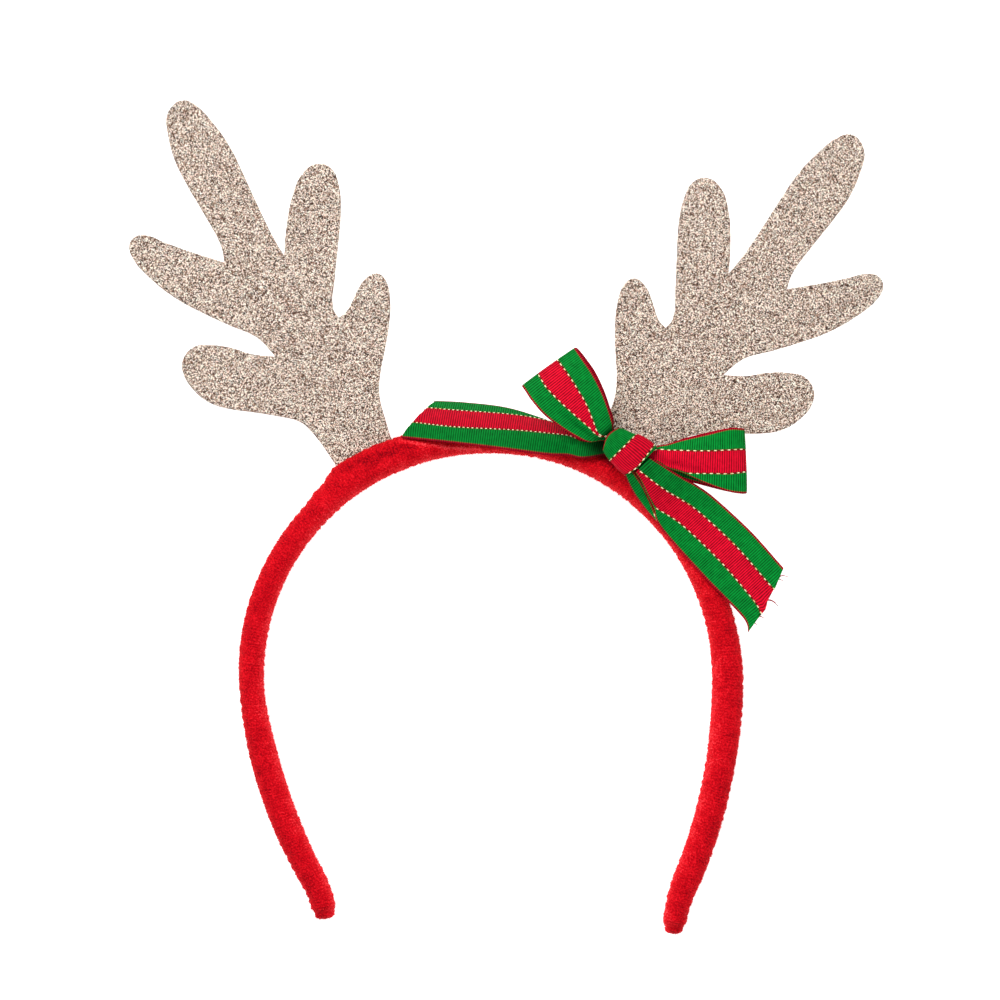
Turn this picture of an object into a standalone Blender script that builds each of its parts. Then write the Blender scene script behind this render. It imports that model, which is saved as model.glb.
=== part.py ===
"""A reindeer antler headband, lying on its back: metres, +Z up.

The arch lies in the XY plane with its crown at the origin and its two ends towards -Y.
The front of the headband, with the bow, looks up along +Z, and its flattened back rests at z = 0.
"""

import math

import bmesh
import bpy
from mathutils import Matrix, Vector

# Driving sizes, in metres.
ARCH_RADIUS = 0.065
BAND_WIDTH = 0.0076
BAND_DEPTH = 0.011
BACK_FLAT = 0.0005
RIB_PITCH = 0.0044
RIB_HEIGHT = 0.0003
RIB_UNEVENNESS = 0.4
RIB_DRIFT = 1.7

ANTLER_HEIGHT = 0.107
ANTLER_WIDTH = 0.067
ANTLER_SHEET = 0.002
ANTLER_TAB = 0.004
ANTLER_BASE = 0.0166

RIBBON_WIDTH = 0.0165
RIBBON_WALL = 0.001
LEFT_LOOP_LENGTH = 0.0301
RIGHT_LOOP_LENGTH = 0.0326
LEFT_TAIL_LENGTH = 0.056
RIGHT_TAIL_LENGTH = 0.057
KNOT_LENGTH = 0.011
KNOT_WIDTH = 0.0113
KNOT_THICKNESS = 0.0075
KNOT_NESTLE = 0.0006

CLEARANCE = 0.0003
WELD_DISTANCE = 0.00001

# Places along the arch, as shares of each side's length, and angles in degrees.
ANTLER_PLACE = {"left_antler": 0.195, "right_antler": 0.203}
ANTLER_RISE = {"left_antler": 0.70, "right_antler": 0.68}
ANTLER_LEAN = {"left_antler": 0.5, "right_antler": 6.2}
KNOT_PLACE = 0.20
KNOT_RISE = 0.92
KNOT_TURN = -42.0
LEFT_LOOP_TURN = 130.9
RIGHT_LOOP_TURN = -4.4
LEFT_TAIL_TURN = 171.0
RIGHT_TAIL_TURN = -47.6

# Points around a section of the band and of the knot, and how boxy each is: 2 is an ellipse.
BAND_SIDES = 14
KNOT_SIDES = 16
BAND_BOXINESS = 2.4
KNOT_BOXINESS = 4.5

# Columns across the ribbon, and steps between two rows of a table or of the antler's outline.
RIBBON_COLUMNS = 6
LOOP_STEPS = 2
TAIL_STEPS = 3
OUTLINE_STEPS = 3

# Sections without ribs at each end of the band, and places tried along a side to find the nearest.
PLAIN_END_SECTIONS = 3
SEARCH_STEPS = 80

LEFT = -1
RIGHT = 1

# The arch's centreline on each side, from the crown: radius as a share of ARCH_RADIUS, turn in degrees.
ARCS = {
    LEFT: [(1.00, 57), (0.955, 42), (2.14, 20), (0.46, -20)],
    RIGHT: [(0.97, 44), (1.03, 47), (2.17, 22), (0.70, -17)],
}

# The band's sections: place along the side, then how far the cover reaches inwards and outwards from
# the centreline as shares of BAND_WIDTH, and its depth as a share of BAND_DEPTH.
# The cover swells outwards where an antler's tab is tucked in.
BAND_SECTIONS = {
    LEFT: [
        (0.00, 0.51, 0.58, 1.00),
        (0.13, 0.49, 0.65, 1.00),
        (0.20, 0.47, 0.75, 1.00),
        (0.24, 0.46, 0.80, 1.00),
        (0.28, 0.46, 0.56, 0.99),
        (0.32, 0.46, 0.45, 0.98),
        (0.52, 0.45, 0.45, 0.94),
        (0.62, 0.43, 0.43, 0.92),
        (0.74, 0.49, 0.49, 0.90),
        (0.84, 0.49, 0.49, 0.88),
        (0.91, 0.46, 0.46, 0.85),
        (0.985, 0.42, 0.42, 0.80),
        (1.00, 0.34, 0.34, 0.64),
    ],
    RIGHT: [
        (0.00, 0.51, 0.58, 1.00),
        (0.13, 0.48, 0.65, 1.00),
        (0.21, 0.48, 0.76, 1.00),
        (0.26, 0.49, 0.74, 1.00),
        (0.30, 0.49, 0.56, 0.99),
        (0.36, 0.48, 0.50, 0.97),
        (0.50, 0.50, 0.50, 0.94),
        (0.58, 0.54, 0.54, 0.93),
        (0.66, 0.54, 0.54, 0.91),
        (0.74, 0.51, 0.51, 0.90),
        (0.90, 0.49, 0.49, 0.86),
        (0.985, 0.41, 0.41, 0.80),
        (1.00, 0.30, 0.30, 0.60),
    ],
}

# The antler's outline, anticlockwise from the base's right corner when seen from the front:
# across as a share of ANTLER_WIDTH, up as a share of ANTLER_HEIGHT, and whether it is a sharp corner.
ANTLER_OUTLINE = [
    (0.143, 0.051, False),
    (0.166, 0.102, False),
    (0.202, 0.141, False),
    (0.277, 0.197, False),
    (0.343, 0.248, False),
    (0.397, 0.303, False),
    (0.419, 0.351, False),
    (0.401, 0.376, False),
    (0.347, 0.377, False),
    (0.287, 0.357, False),
    (0.219, 0.329, False),
    (0.179, 0.325, True),
    (0.177, 0.351, False),
    (0.244, 0.417, False),
    (0.322, 0.486, False),
    (0.398, 0.556, False),
    (0.443, 0.615, False),
    (0.452, 0.660, False),
    (0.418, 0.689, False),
    (0.354, 0.691, False),
    (0.282, 0.664, False),
    (0.164, 0.579, False),
    (0.112, 0.529, True),
    (0.109, 0.568, False),
    (0.118, 0.669, False),
    (0.131, 0.762, False),
    (0.138, 0.834, False),
    (0.126, 0.912, False),
    (0.099, 0.974, False),
    (0.066, 0.998, False),
    (0.026, 1.000, False),
    (-0.025, 0.981, False),
    (-0.056, 0.939, False),
    (-0.083, 0.875, False),
    (-0.089, 0.810, False),
    (-0.087, 0.720, False),
    (-0.092, 0.625, False),
    (-0.112, 0.589, True),
    (-0.215, 0.659, False),
    (-0.280, 0.707, False),
    (-0.337, 0.749, False),
    (-0.378, 0.757, False),
    (-0.412, 0.745, False),
    (-0.425, 0.713, False),
    (-0.405, 0.650, False),
    (-0.355, 0.573, False),
    (-0.293, 0.510, False),
    (-0.213, 0.440, False),
    (-0.145, 0.383, False),
    (-0.120, 0.319, True),
    (-0.197, 0.353, False),
    (-0.257, 0.393, False),
    (-0.332, 0.428, False),
    (-0.385, 0.442, False),
    (-0.442, 0.432, False),
    (-0.475, 0.403, False),
    (-0.475, 0.351, False),
    (-0.447, 0.304, False),
    (-0.396, 0.267, False),
    (-0.314, 0.227, False),
    (-0.215, 0.177, False),
    (-0.162, 0.144, False),
    (-0.140, 0.102, False),
]

# The knot's wrap, from its upper left mouth to its lower right one: place along as a share of
# KNOT_LENGTH, half widths down and up as shares of KNOT_WIDTH, depth as a share of KNOT_THICKNESS.
KNOT_SECTIONS = [
    (-0.50, 0.31, 0.31, 0.90),
    (-0.36, 0.40, 0.36, 0.96),
    (-0.12, 0.50, 0.43, 1.00),
    (0.22, 0.51, 0.50, 1.00),
    (0.50, 0.45, 0.50, 0.90),
]

# How many of the knot's spans show the wrap's green stripe before its red one.
KNOT_GREEN_SPANS = 2

# Each ribbon piece's sections from the knot outwards, and for a loop back again.
# along: share of the piece's length from the knot's centre.
# lower, upper: the two edges' places across, as shares of RIBBON_WIDTH.
# lift: height over the band's front, as a share of KNOT_THICKNESS.
# tilt: how steeply the section leans back over the band's outer edge, in degrees.
# bulge, pleat: how far its middle stands proud and its pleat lies deep, as shares of RIBBON_WIDTH.
LEFT_LOOP_ROWS = [
    (0.26, -0.35, 0.21, 0.68, 0, 0.04, 0.03),
    (0.37, -0.45, 0.29, 0.74, 0, 0.05, 0.07),
    (0.52, -0.54, 0.41, 0.79, 0, 0.05, 0.06),
    (0.70, -0.61, 0.48, 0.80, 0, 0.03, 0.02),
    (0.86, -0.61, 0.48, 0.74, 0, 0.02, 0.00),
    (0.96, -0.585, 0.49, 0.62, 0, 0.01, 0.00),
    (1.00, -0.575, 0.495, 0.43, 0, 0.01, 0.00),
    (0.96, -0.56, 0.51, 0.25, 0, 0.01, 0.00),
    (0.86, -0.56, 0.51, 0.16, 0, 0.01, 0.00),
    (0.70, -0.55, 0.50, 0.13, 0, 0.01, 0.00),
    (0.52, -0.46, 0.43, 0.17, 0, 0.01, 0.00),
    (0.37, -0.34, 0.31, 0.27, 0, 0.01, 0.00),
    (0.26, -0.26, 0.24, 0.38, 0, 0.01, 0.00),
]
RIGHT_LOOP_ROWS = [
    (0.25, -0.14, 0.06, 0.40, 0, 0.01, 0.00),
    (0.37, -0.24, 0.14, 0.45, 0, 0.03, 0.03),
    (0.50, -0.30, 0.24, 0.65, 0, 0.05, 0.05),
    (0.69, -0.44, 0.36, 0.76, 0, 0.05, 0.02),
    (0.86, -0.54, 0.47, 0.74, 0, 0.03, 0.00),
    (0.96, -0.56, 0.485, 0.60, 0, 0.01, 0.00),
    (1.00, -0.55, 0.485, 0.42, 0, 0.01, 0.00),
    (0.96, -0.555, 0.485, 0.24, 0, 0.01, 0.00),
    (0.86, -0.54, 0.47, 0.10, 0, 0.01, 0.00),
    (0.69, -0.48, 0.38, 0.06, 0, 0.01, 0.00),
    (0.50, -0.40, 0.26, 0.08, 0, 0.01, 0.00),
    (0.37, -0.29, 0.15, 0.13, 0, 0.01, 0.00),
    (0.25, -0.16, 0.07, 0.19, 0, 0.01, 0.00),
]
LEFT_TAIL_ROWS = [
    (0.19, -0.17, 0.09, 0.10, 12, 0.02, 0.00),
    (0.27, -0.23, 0.18, 0.00, 35, 0.04, 0.02),
    (0.37, -0.28, 0.27, 0.00, 46, 0.05, 0.02),
    (0.59, -0.30, 0.38, 0.00, 48, 0.06, 0.00),
    (0.82, -0.33, 0.36, 0.00, 48, 0.06, 0.00),
    (1.00, -0.37, 0.31, 0.00, 48, 0.05, 0.00),
]
RIGHT_TAIL_ROWS = [
    (0.16, -0.34, 0.25, 0.66, 0, 0.03, 0.05),
    (0.23, -0.38, 0.33, 0.56, 0, 0.04, 0.07),
    (0.30, -0.39, 0.41, 0.33, 0, 0.04, 0.05),
    (0.38, -0.405, 0.50, 0.14, 0, 0.03, 0.02),
    (0.48, -0.43, 0.56, 0.03, 0, 0.02, 0.00),
    (0.70, -0.43, 0.62, 0.00, 0, 0.02, 0.00),
    (1.00, -0.43, 0.62, 0.03, 0, 0.02, 0.00),
]
# How far a piece's end reaches further at its upper edge than at its lower one, as a share of
# RIBBON_WIDTH: the slant of a cut end or of a loop's fold.
LEFT_LOOP_SLANT = -0.10
RIGHT_LOOP_SLANT = -0.12
LEFT_TAIL_SLANT = -0.46
RIGHT_TAIL_SLANT = -0.40

# Where each ribbon end lies in the knot: the level from the back, and its width as a share of the hole.
LEFT_TAIL_LEVEL = 0
LEFT_LOOP_LEVELS = (2, 1)
RIGHT_LOOP_LEVELS = (1, 0)
RIGHT_TAIL_LEVEL = 2
KNOT_LEVELS = 3
LEFT_LOOP_ROOT = 0.70
LEFT_TAIL_ROOT = 0.50
RIGHT_LOOP_ROOT = 0.35
RIGHT_TAIL_ROOT = 0.72
ROOT_START = 0.08

# How much of a leaning ribbon's bulge its edges give way to, so that its back keeps off the band.
BULGE_GIVE = 0.5

# Colours, as sRGB values from 0 to 255.
VELOUR_RED = (208, 20, 36)
GLITTER_BEIGE = (193, 175, 160)
RIBBON_GREEN = (13, 130, 51)
RIBBON_RED = (210, 22, 47)
VELOUR_ROUGHNESS = 0.9
GLITTER_ROUGHNESS = 0.5
GLITTER_METALLIC = 0.3
RIBBON_ROUGHNESS = 0.6


def linear(colour):
    """Turns an sRGB colour from 0 to 255 into Blender's linear one."""
    values = []
    for channel in colour:
        share = channel / 255
        values.append(share / 12.92 if share < 0.04045 else ((share + 0.055) / 1.055) ** 2.4)
    return (*values, 1.0)


def make_material(name, colour, roughness, metallic=0.0):
    material = bpy.data.materials.new(name)
    material.use_nodes = True
    shader = material.node_tree.nodes["Principled BSDF"]
    shader.inputs["Base Color"].default_value = linear(colour)
    shader.inputs["Roughness"].default_value = roughness
    shader.inputs["Metallic"].default_value = metallic
    material.diffuse_color = linear(colour)
    return material


def add_object(name, mesh, collection, materials):
    piece = bpy.data.objects.new(name, mesh)
    for material in materials:
        mesh.materials.append(material)
    collection.objects.link(piece)
    return piece


def side_length(side):
    return sum(ARCH_RADIUS * share * math.radians(abs(turn)) for share, turn in ARCS[side])


def arch_at(side, distance):
    """The point on the arch's centreline, the way onwards and the way outwards there."""
    x = 0.0
    y = 0.0
    heading = 0.0
    for share, turn in ARCS[side]:
        radius = ARCH_RADIUS * share
        step = min(distance, radius * math.radians(abs(turn)))
        bend = math.copysign(step / radius, -turn)
        signed_radius = math.copysign(radius, -turn)
        x += signed_radius * (math.sin(heading + bend) - math.sin(heading))
        y += signed_radius * (math.cos(heading) - math.cos(heading + bend))
        heading += bend
        distance -= step
    point = Vector((side * x, y, 0))
    onwards = Vector((side * math.cos(heading), math.sin(heading), 0))
    outwards = Vector((-side * math.sin(heading), math.cos(heading), 0))
    return point, onwards, outwards


def band_section(side, distance):
    """How far the band reaches inwards and outwards and its depth, eased between the table's rows."""
    place = min(distance / side_length(side), 1.0)
    rows = BAND_SECTIONS[side]
    for first, second in zip(rows, rows[1:]):
        if place <= second[0]:
            share = (place - first[0]) / (second[0] - first[0])
            share = share * share * (3 - 2 * share)
            inner, outer, depth = (a + (b - a) * share for a, b in zip(first[1:], second[1:]))
            break
    return inner * BAND_WIDTH, outer * BAND_WIDTH, depth * BAND_DEPTH


def rounded(angle, power):
    """A point on a superellipse of half sizes 1, between an ellipse and a box."""
    across = math.copysign(abs(math.cos(angle)) ** (2 / power), math.cos(angle))
    up = math.copysign(abs(math.sin(angle)) ** (2 / power), math.sin(angle))
    return across, up


def band_ring(side, distance, rib):
    """One section of the padded band, with its back pressed flat at z = 0."""
    centre, _, outwards = arch_at(side, distance)
    inner, outer, depth = band_section(side, distance)
    ring = []
    for k in range(BAND_SIDES):
        across, up = rounded(2 * math.pi * (k / BAND_SIDES - 0.25), BAND_BOXINESS)
        offset = across * ((outer if across > 0 else inner) + rib)
        height = depth / 2 + up * (depth / 2 + (rib if up > 0 else BACK_FLAT))
        ring.append(centre + outwards * offset + Vector((0, 0, max(height, 0.0))))
    return ring


def loft(rings, closed_ends):
    """Joins rings of as many points each with quads, and closes both ends if asked."""
    mesh = bmesh.new()
    rows = [[mesh.verts.new(point) for point in ring] for ring in rings]
    for first, second in zip(rows, rows[1:]):
        for k in range(len(first)):
            after = (k + 1) % len(first)
            mesh.faces.new((first[k], first[after], second[after], second[k]))
    if closed_ends:
        mesh.faces.new(rows[0])
        mesh.faces.new(rows[-1])
    bmesh.ops.recalc_face_normals(mesh, faces=mesh.faces)
    data = bpy.data.meshes.new("loft")
    mesh.to_mesh(data)
    mesh.free()
    return data


def make_band(collection, material):
    """The arch in its cover, gathered into ribs across."""
    rings = []
    count = {side: round(side_length(side) / (RIB_PITCH / 2)) for side in (LEFT, RIGHT)}
    for step in range(-count[LEFT], count[RIGHT] + 1):
        side = LEFT if step < 0 else RIGHT
        distance = side_length(side) * abs(step) / count[side]
        wave = math.cos(math.pi * step) + RIB_UNEVENNESS * math.sin(RIB_DRIFT * step)
        rib = 0.0 if abs(step) > count[side] - PLAIN_END_SECTIONS else RIB_HEIGHT / 2 * wave
        rings.append(band_ring(side, distance, rib))
    return add_object("band", loft(rings, True), collection, [material])


def antler_frame(name):
    """The place of an antler's base: its Y runs up the antler and its Z out of its front."""
    side = LEFT if name == "left_antler" else RIGHT
    distance = side_length(side) * ANTLER_PLACE[name]
    centre, _, outwards = arch_at(side, distance)
    depth = band_section(side, distance)[2]
    place = centre + outwards * BAND_WIDTH * ANTLER_RISE[name] + Vector((0, 0, depth / 2))
    turn = math.atan2(outwards.y, outwards.x) - math.pi / 2 - side * math.radians(ANTLER_LEAN[name])
    return Matrix.Translation(place) @ Matrix.Rotation(turn, 4, "Z"), side


def mesh_from_curve(curve_object):
    """Turns a filled curve into a closed mesh and removes the curve."""
    bpy.context.view_layer.update()
    evaluated = curve_object.evaluated_get(bpy.context.evaluated_depsgraph_get())
    data = bpy.data.meshes.new_from_object(evaluated)
    welder = bmesh.new()
    welder.from_mesh(data)
    bmesh.ops.remove_doubles(welder, verts=welder.verts, dist=WELD_DISTANCE)
    welder.to_mesh(data)
    welder.free()
    bpy.data.objects.remove(curve_object)
    return data


def make_antler(name, collection, material):
    """A flat antler cut from glitter sheet, with the tab that goes into the band."""
    frame, side = antler_frame(name)
    half_base = ANTLER_BASE / 2
    points = [(-half_base, 0.0, True), (-half_base, -ANTLER_TAB, True)]
    points += [(half_base, -ANTLER_TAB, True), (half_base, 0.0, True)]
    points += [(x * ANTLER_WIDTH, y * ANTLER_HEIGHT, corner) for x, y, corner in ANTLER_OUTLINE]
    curve = bpy.data.curves.new(name, "CURVE")
    curve.dimensions = "2D"
    curve.fill_mode = "BOTH"
    curve.extrude = ANTLER_SHEET / 2
    curve.resolution_u = OUTLINE_STEPS
    spline = curve.splines.new("BEZIER")
    spline.bezier_points.add(len(points) - 1)
    spline.use_cyclic_u = True
    for place, (x, y, corner) in zip(spline.bezier_points, points):
        place.co = (-side * x, y, 0)
        place.handle_left_type = "VECTOR" if corner else "AUTO"
        place.handle_right_type = "VECTOR" if corner else "AUTO"
    outline = bpy.data.objects.new(name + "_outline", curve)
    collection.objects.link(outline)
    antler = add_object(name, mesh_from_curve(outline), collection, [material])
    antler.matrix_world = frame
    return antler


def make_slot_cutter(name, cutters):
    """A box round an antler's tab, open outwards, that leaves the clearance all round."""
    frame, _ = antler_frame(name)
    reach = BAND_WIDTH
    size = Vector((ANTLER_BASE, ANTLER_TAB + reach, ANTLER_SHEET)) + Vector((2, 2, 2)) * CLEARANCE
    block = bmesh.new()
    bmesh.ops.create_cube(block, size=1.0)
    bmesh.ops.scale(block, vec=size, verts=block.verts)
    bmesh.ops.translate(block, vec=(0, (reach - ANTLER_TAB) / 2, 0), verts=block.verts)
    data = bpy.data.meshes.new(name + "_slot")
    block.to_mesh(data)
    block.free()
    cutter = add_object(name + "_slot", data, cutters, [])
    cutter.matrix_world = frame
    cutter.hide_render = True
    cutter.display_type = "WIRE"
    return cutter


def cut_slot(piece, cutter):
    slot = piece.modifiers.new(cutter.name, "BOOLEAN")
    slot.operation = "DIFFERENCE"
    slot.solver = "EXACT"
    slot.object = cutter


def nearest_section(point):
    """The band's section nearest to a point, and how far outwards from the centreline the point lies."""
    best = None
    for side in (LEFT, RIGHT):
        for step in range(SEARCH_STEPS + 1):
            distance = side_length(side) * step / SEARCH_STEPS
            centre, _, outwards = arch_at(side, distance)
            away = Vector((point.x, point.y, 0)) - centre
            if best is None or away.length < best[0]:
                best = (away.length, side, distance, away.dot(outwards))
    return band_section(best[1], best[2]), best[3]


def leaning_height(point, tilt, bulge):
    """The height of a ribbon's middle surface that leans on the band's front at a tilt."""
    (_, outer, depth), offset = nearest_section(point)
    power = BAND_BOXINESS / (BAND_BOXINESS - 1)
    across = ((outer + RIB_HEIGHT) * math.sin(tilt)) ** power
    up = ((depth / 2 + RIB_HEIGHT) * math.cos(tilt)) ** power
    reach = (across + up) ** (1 / power) + CLEARANCE + RIBBON_WALL / 2
    rise = reach - (BULGE_GIVE * bulge + offset) * math.sin(tilt)
    return depth / 2 + rise / math.cos(tilt)


def knot_frame():
    """The knot's centre on the band's front, and the ways along it and across it."""
    distance = side_length(RIGHT) * KNOT_PLACE
    centre, _, outwards = arch_at(RIGHT, distance)
    back = band_section(RIGHT, distance)[2] + RIB_HEIGHT + CLEARANCE - KNOT_NESTLE
    place = centre + outwards * BAND_WIDTH * KNOT_RISE + Vector((0, 0, back + KNOT_THICKNESS / 2))
    turn = math.radians(KNOT_TURN)
    along = Vector((math.cos(turn), math.sin(turn), 0))
    across = Vector((-math.sin(turn), math.cos(turn), 0))
    return place, along, across


def make_knot(collection, materials):
    """The short wrap of ribbon round the bow's middle, open at both mouths."""
    place, along, across = knot_frame()
    rings = []
    for share, lower, upper, depth in KNOT_SECTIONS:
        ring = []
        for k in range(KNOT_SIDES):
            sideways, up = rounded(2 * math.pi * (k + 0.5) / KNOT_SIDES, KNOT_BOXINESS)
            half = (upper if sideways > 0 else lower) * KNOT_WIDTH
            point = place + along * share * KNOT_LENGTH + across * sideways * half
            ring.append(point + Vector((0, 0, up * depth * KNOT_THICKNESS / 2)))
        rings.append(ring)
    data = loft(rings, False)
    for face in data.polygons:
        face.material_index = 0 if face.index // KNOT_SIDES < KNOT_GREEN_SPANS else 1
    add_wall(add_object("bow_knot", data, collection, materials), -1.0)


def add_wall(piece, offset):
    """Gives an open surface the ribbon's thickness."""
    wall = piece.modifiers.new("wall", "SOLIDIFY")
    wall.thickness = RIBBON_WALL
    wall.offset = offset
    wall.use_even_offset = True


def root_sections(way, level, width_share):
    """A ribbon end's two sections inside the knot, from near its middle to a mouth."""
    place, along, across = knot_frame()
    mouth = KNOT_SECTIONS[0] if way < 0 else KNOT_SECTIONS[-1]
    _, lower, upper, depth = mouth
    hole = depth * KNOT_THICKNESS - 2 * RIBBON_WALL
    pitch = RIBBON_WALL + (hole - KNOT_LEVELS * RIBBON_WALL) / (KNOT_LEVELS + 1)
    height = Vector((0, 0, (level - (KNOT_LEVELS - 1) / 2) * pitch))
    sections = []
    for share in (ROOT_START, 0.5):
        middle = place + along * way * share * KNOT_LENGTH + height
        low = middle - across * (lower * KNOT_WIDTH - RIBBON_WALL) * width_share
        high = middle + across * (upper * KNOT_WIDTH - RIBBON_WALL) * width_share
        sections.append((low, high, 0.0, 0.0))
    return sections


def free_sections(rows, turn, length, slant):
    """A ribbon piece's sections outside the knot, in world coordinates."""
    place, _, across = knot_frame()
    angle = math.radians(turn)
    onwards = Vector((math.cos(angle), math.sin(angle), 0))
    sideways = Vector((-math.sin(angle), math.cos(angle), 0))
    sideways *= math.copysign(1.0, sideways.dot(across))
    sections = []
    for row in rows:
        along, lower, upper, lift, tilt, bulge, pleat = row
        skew = slant * RIBBON_WIDTH / 2 * along**4
        edges = []
        for side, share in ((-1, lower), (1, upper)):
            point = place + onwards * (along * length + side * skew) + sideways * share * RIBBON_WIDTH
            point.z = leaning_height(point, math.radians(tilt), bulge * RIBBON_WIDTH)
            point.z += lift * KNOT_THICKNESS
            edges.append(point)
        sections.append((*edges, bulge * RIBBON_WIDTH, pleat * RIBBON_WIDTH))
    return sections


def blend(before, first, second, after, share):
    """A smooth value between first and second that also heeds their neighbours."""
    slope_first = (second - before) * 0.5
    slope_second = (after - first) * 0.5
    cube = share**3
    square = share**2
    return (
        first * (2 * cube - 3 * square + 1)
        + slope_first * (cube - 2 * square + share)
        + second * (3 * square - 2 * cube)
        + slope_second * (cube - square)
    )


def smooth_sections(sections, steps):
    """Adds sections between the given ones along smooth curves."""
    result = []
    last = len(sections) - 1
    for i in range(last):
        around = [sections[max(i - 1, 0)], sections[i], sections[i + 1], sections[min(i + 2, last)]]
        for step in range(steps):
            result.append([blend(*values, step / steps) for values in zip(*around)])
    result.append(list(sections[-1]))
    return result


def make_ribbon(name, sections, steps, collection, materials):
    """A strip of striped ribbon through its sections: green, red and green across its columns."""
    smooth = smooth_sections(sections, steps)
    middles = [(low + high) / 2 for low, high, _, _ in smooth]
    front = None
    mesh = bmesh.new()
    rows = []
    for i, (low, high, bulge, pleat) in enumerate(smooth):
        onwards = middles[min(i + 1, len(smooth) - 1)] - middles[max(i - 1, 0)]
        normal = onwards.cross(high - low).normalized()
        if front is None:
            front = math.copysign(1.0, normal.z)
        row = []
        for column in range(RIBBON_COLUMNS + 1):
            share = column / RIBBON_COLUMNS
            swell = bulge * (1 - (2 * share - 1) ** 2)
            dent = pleat if column == 1 else 0.0
            row.append(mesh.verts.new(low.lerp(high, share) + normal * front * (swell - dent)))
        rows.append(row)
    stripe = RIBBON_COLUMNS // 3
    for first, second in zip(rows, rows[1:]):
        for column in range(RIBBON_COLUMNS):
            face = mesh.faces.new((first[column], first[column + 1], second[column + 1], second[column]))
            face.material_index = 1 if stripe <= column < 2 * stripe else 0
    data = bpy.data.meshes.new(name)
    mesh.to_mesh(data)
    mesh.free()
    ribbon = add_object(name, data, collection, materials)
    add_wall(ribbon, 0.0)
    return ribbon


def loop_sections(way, levels, root, rows, turn, length, slant):
    """A loop's sections: out of the knot in front, round its end and back in behind."""
    out = root_sections(way, levels[0], root)
    back = root_sections(way, levels[1], root)
    return out + free_sections(rows, turn, length, slant) + back[::-1]


def tail_sections(way, level, root, rows, turn, length, slant):
    """A tail's sections: from the knot to its cut end."""
    return root_sections(way, level, root) + free_sections(rows, turn, length, slant)


def make_bow(collection, ribbon_materials):
    make_knot(collection, ribbon_materials)
    left_loop = loop_sections(
        -1, LEFT_LOOP_LEVELS, LEFT_LOOP_ROOT, LEFT_LOOP_ROWS, LEFT_LOOP_TURN, LEFT_LOOP_LENGTH,
        LEFT_LOOP_SLANT
    )
    right_loop = loop_sections(
        1, RIGHT_LOOP_LEVELS, RIGHT_LOOP_ROOT, RIGHT_LOOP_ROWS, RIGHT_LOOP_TURN, RIGHT_LOOP_LENGTH,
        RIGHT_LOOP_SLANT
    )
    left_tail = tail_sections(
        -1, LEFT_TAIL_LEVEL, LEFT_TAIL_ROOT, LEFT_TAIL_ROWS, LEFT_TAIL_TURN, LEFT_TAIL_LENGTH,
        LEFT_TAIL_SLANT
    )
    right_tail = tail_sections(
        1, RIGHT_TAIL_LEVEL, RIGHT_TAIL_ROOT, RIGHT_TAIL_ROWS, RIGHT_TAIL_TURN, RIGHT_TAIL_LENGTH,
        RIGHT_TAIL_SLANT
    )
    make_ribbon("bow_loop_left", left_loop, LOOP_STEPS, collection, ribbon_materials)
    make_ribbon("bow_loop_right", right_loop, LOOP_STEPS, collection, ribbon_materials)
    make_ribbon("bow_tail_left", left_tail, TAIL_STEPS, collection, ribbon_materials)
    make_ribbon("bow_tail_right", right_tail, TAIL_STEPS, collection, ribbon_materials)


def main():
    for leftover in list(bpy.data.objects):
        bpy.data.objects.remove(leftover)
    parts = bpy.data.collections.new("reindeer_antler_headband")
    cutters = bpy.data.collections.new("cutters")
    bpy.context.scene.collection.children.link(parts)
    bpy.context.scene.collection.children.link(cutters)

    velour = make_material("red_velour", VELOUR_RED, VELOUR_ROUGHNESS)
    glitter = make_material("glitter_sheet", GLITTER_BEIGE, GLITTER_ROUGHNESS, GLITTER_METALLIC)
    green = make_material("green_ribbon", RIBBON_GREEN, RIBBON_ROUGHNESS)
    red = make_material("red_ribbon", RIBBON_RED, RIBBON_ROUGHNESS)

    band = make_band(parts, velour)
    for name in ANTLER_PLACE:
        make_antler(name, parts, glitter)
        cut_slot(band, make_slot_cutter(name, cutters))
    make_bow(parts, [green, red])


main()
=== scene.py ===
# %% [markdown]
# # A reindeer antler headband
# A springy arch padded and covered in red velour, two flat antlers cut from glitter sheet, and a bow
# tied from a striped, ribbed ribbon with gold threads. It lies on its back on a pale table, and the
# camera looks straight down at its front, so +Z is towards the camera and +Y is up in the picture.
# Sizes are in metres. Each step below makes one piece or one finish.

# %% Load the fixed frame
import math

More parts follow.
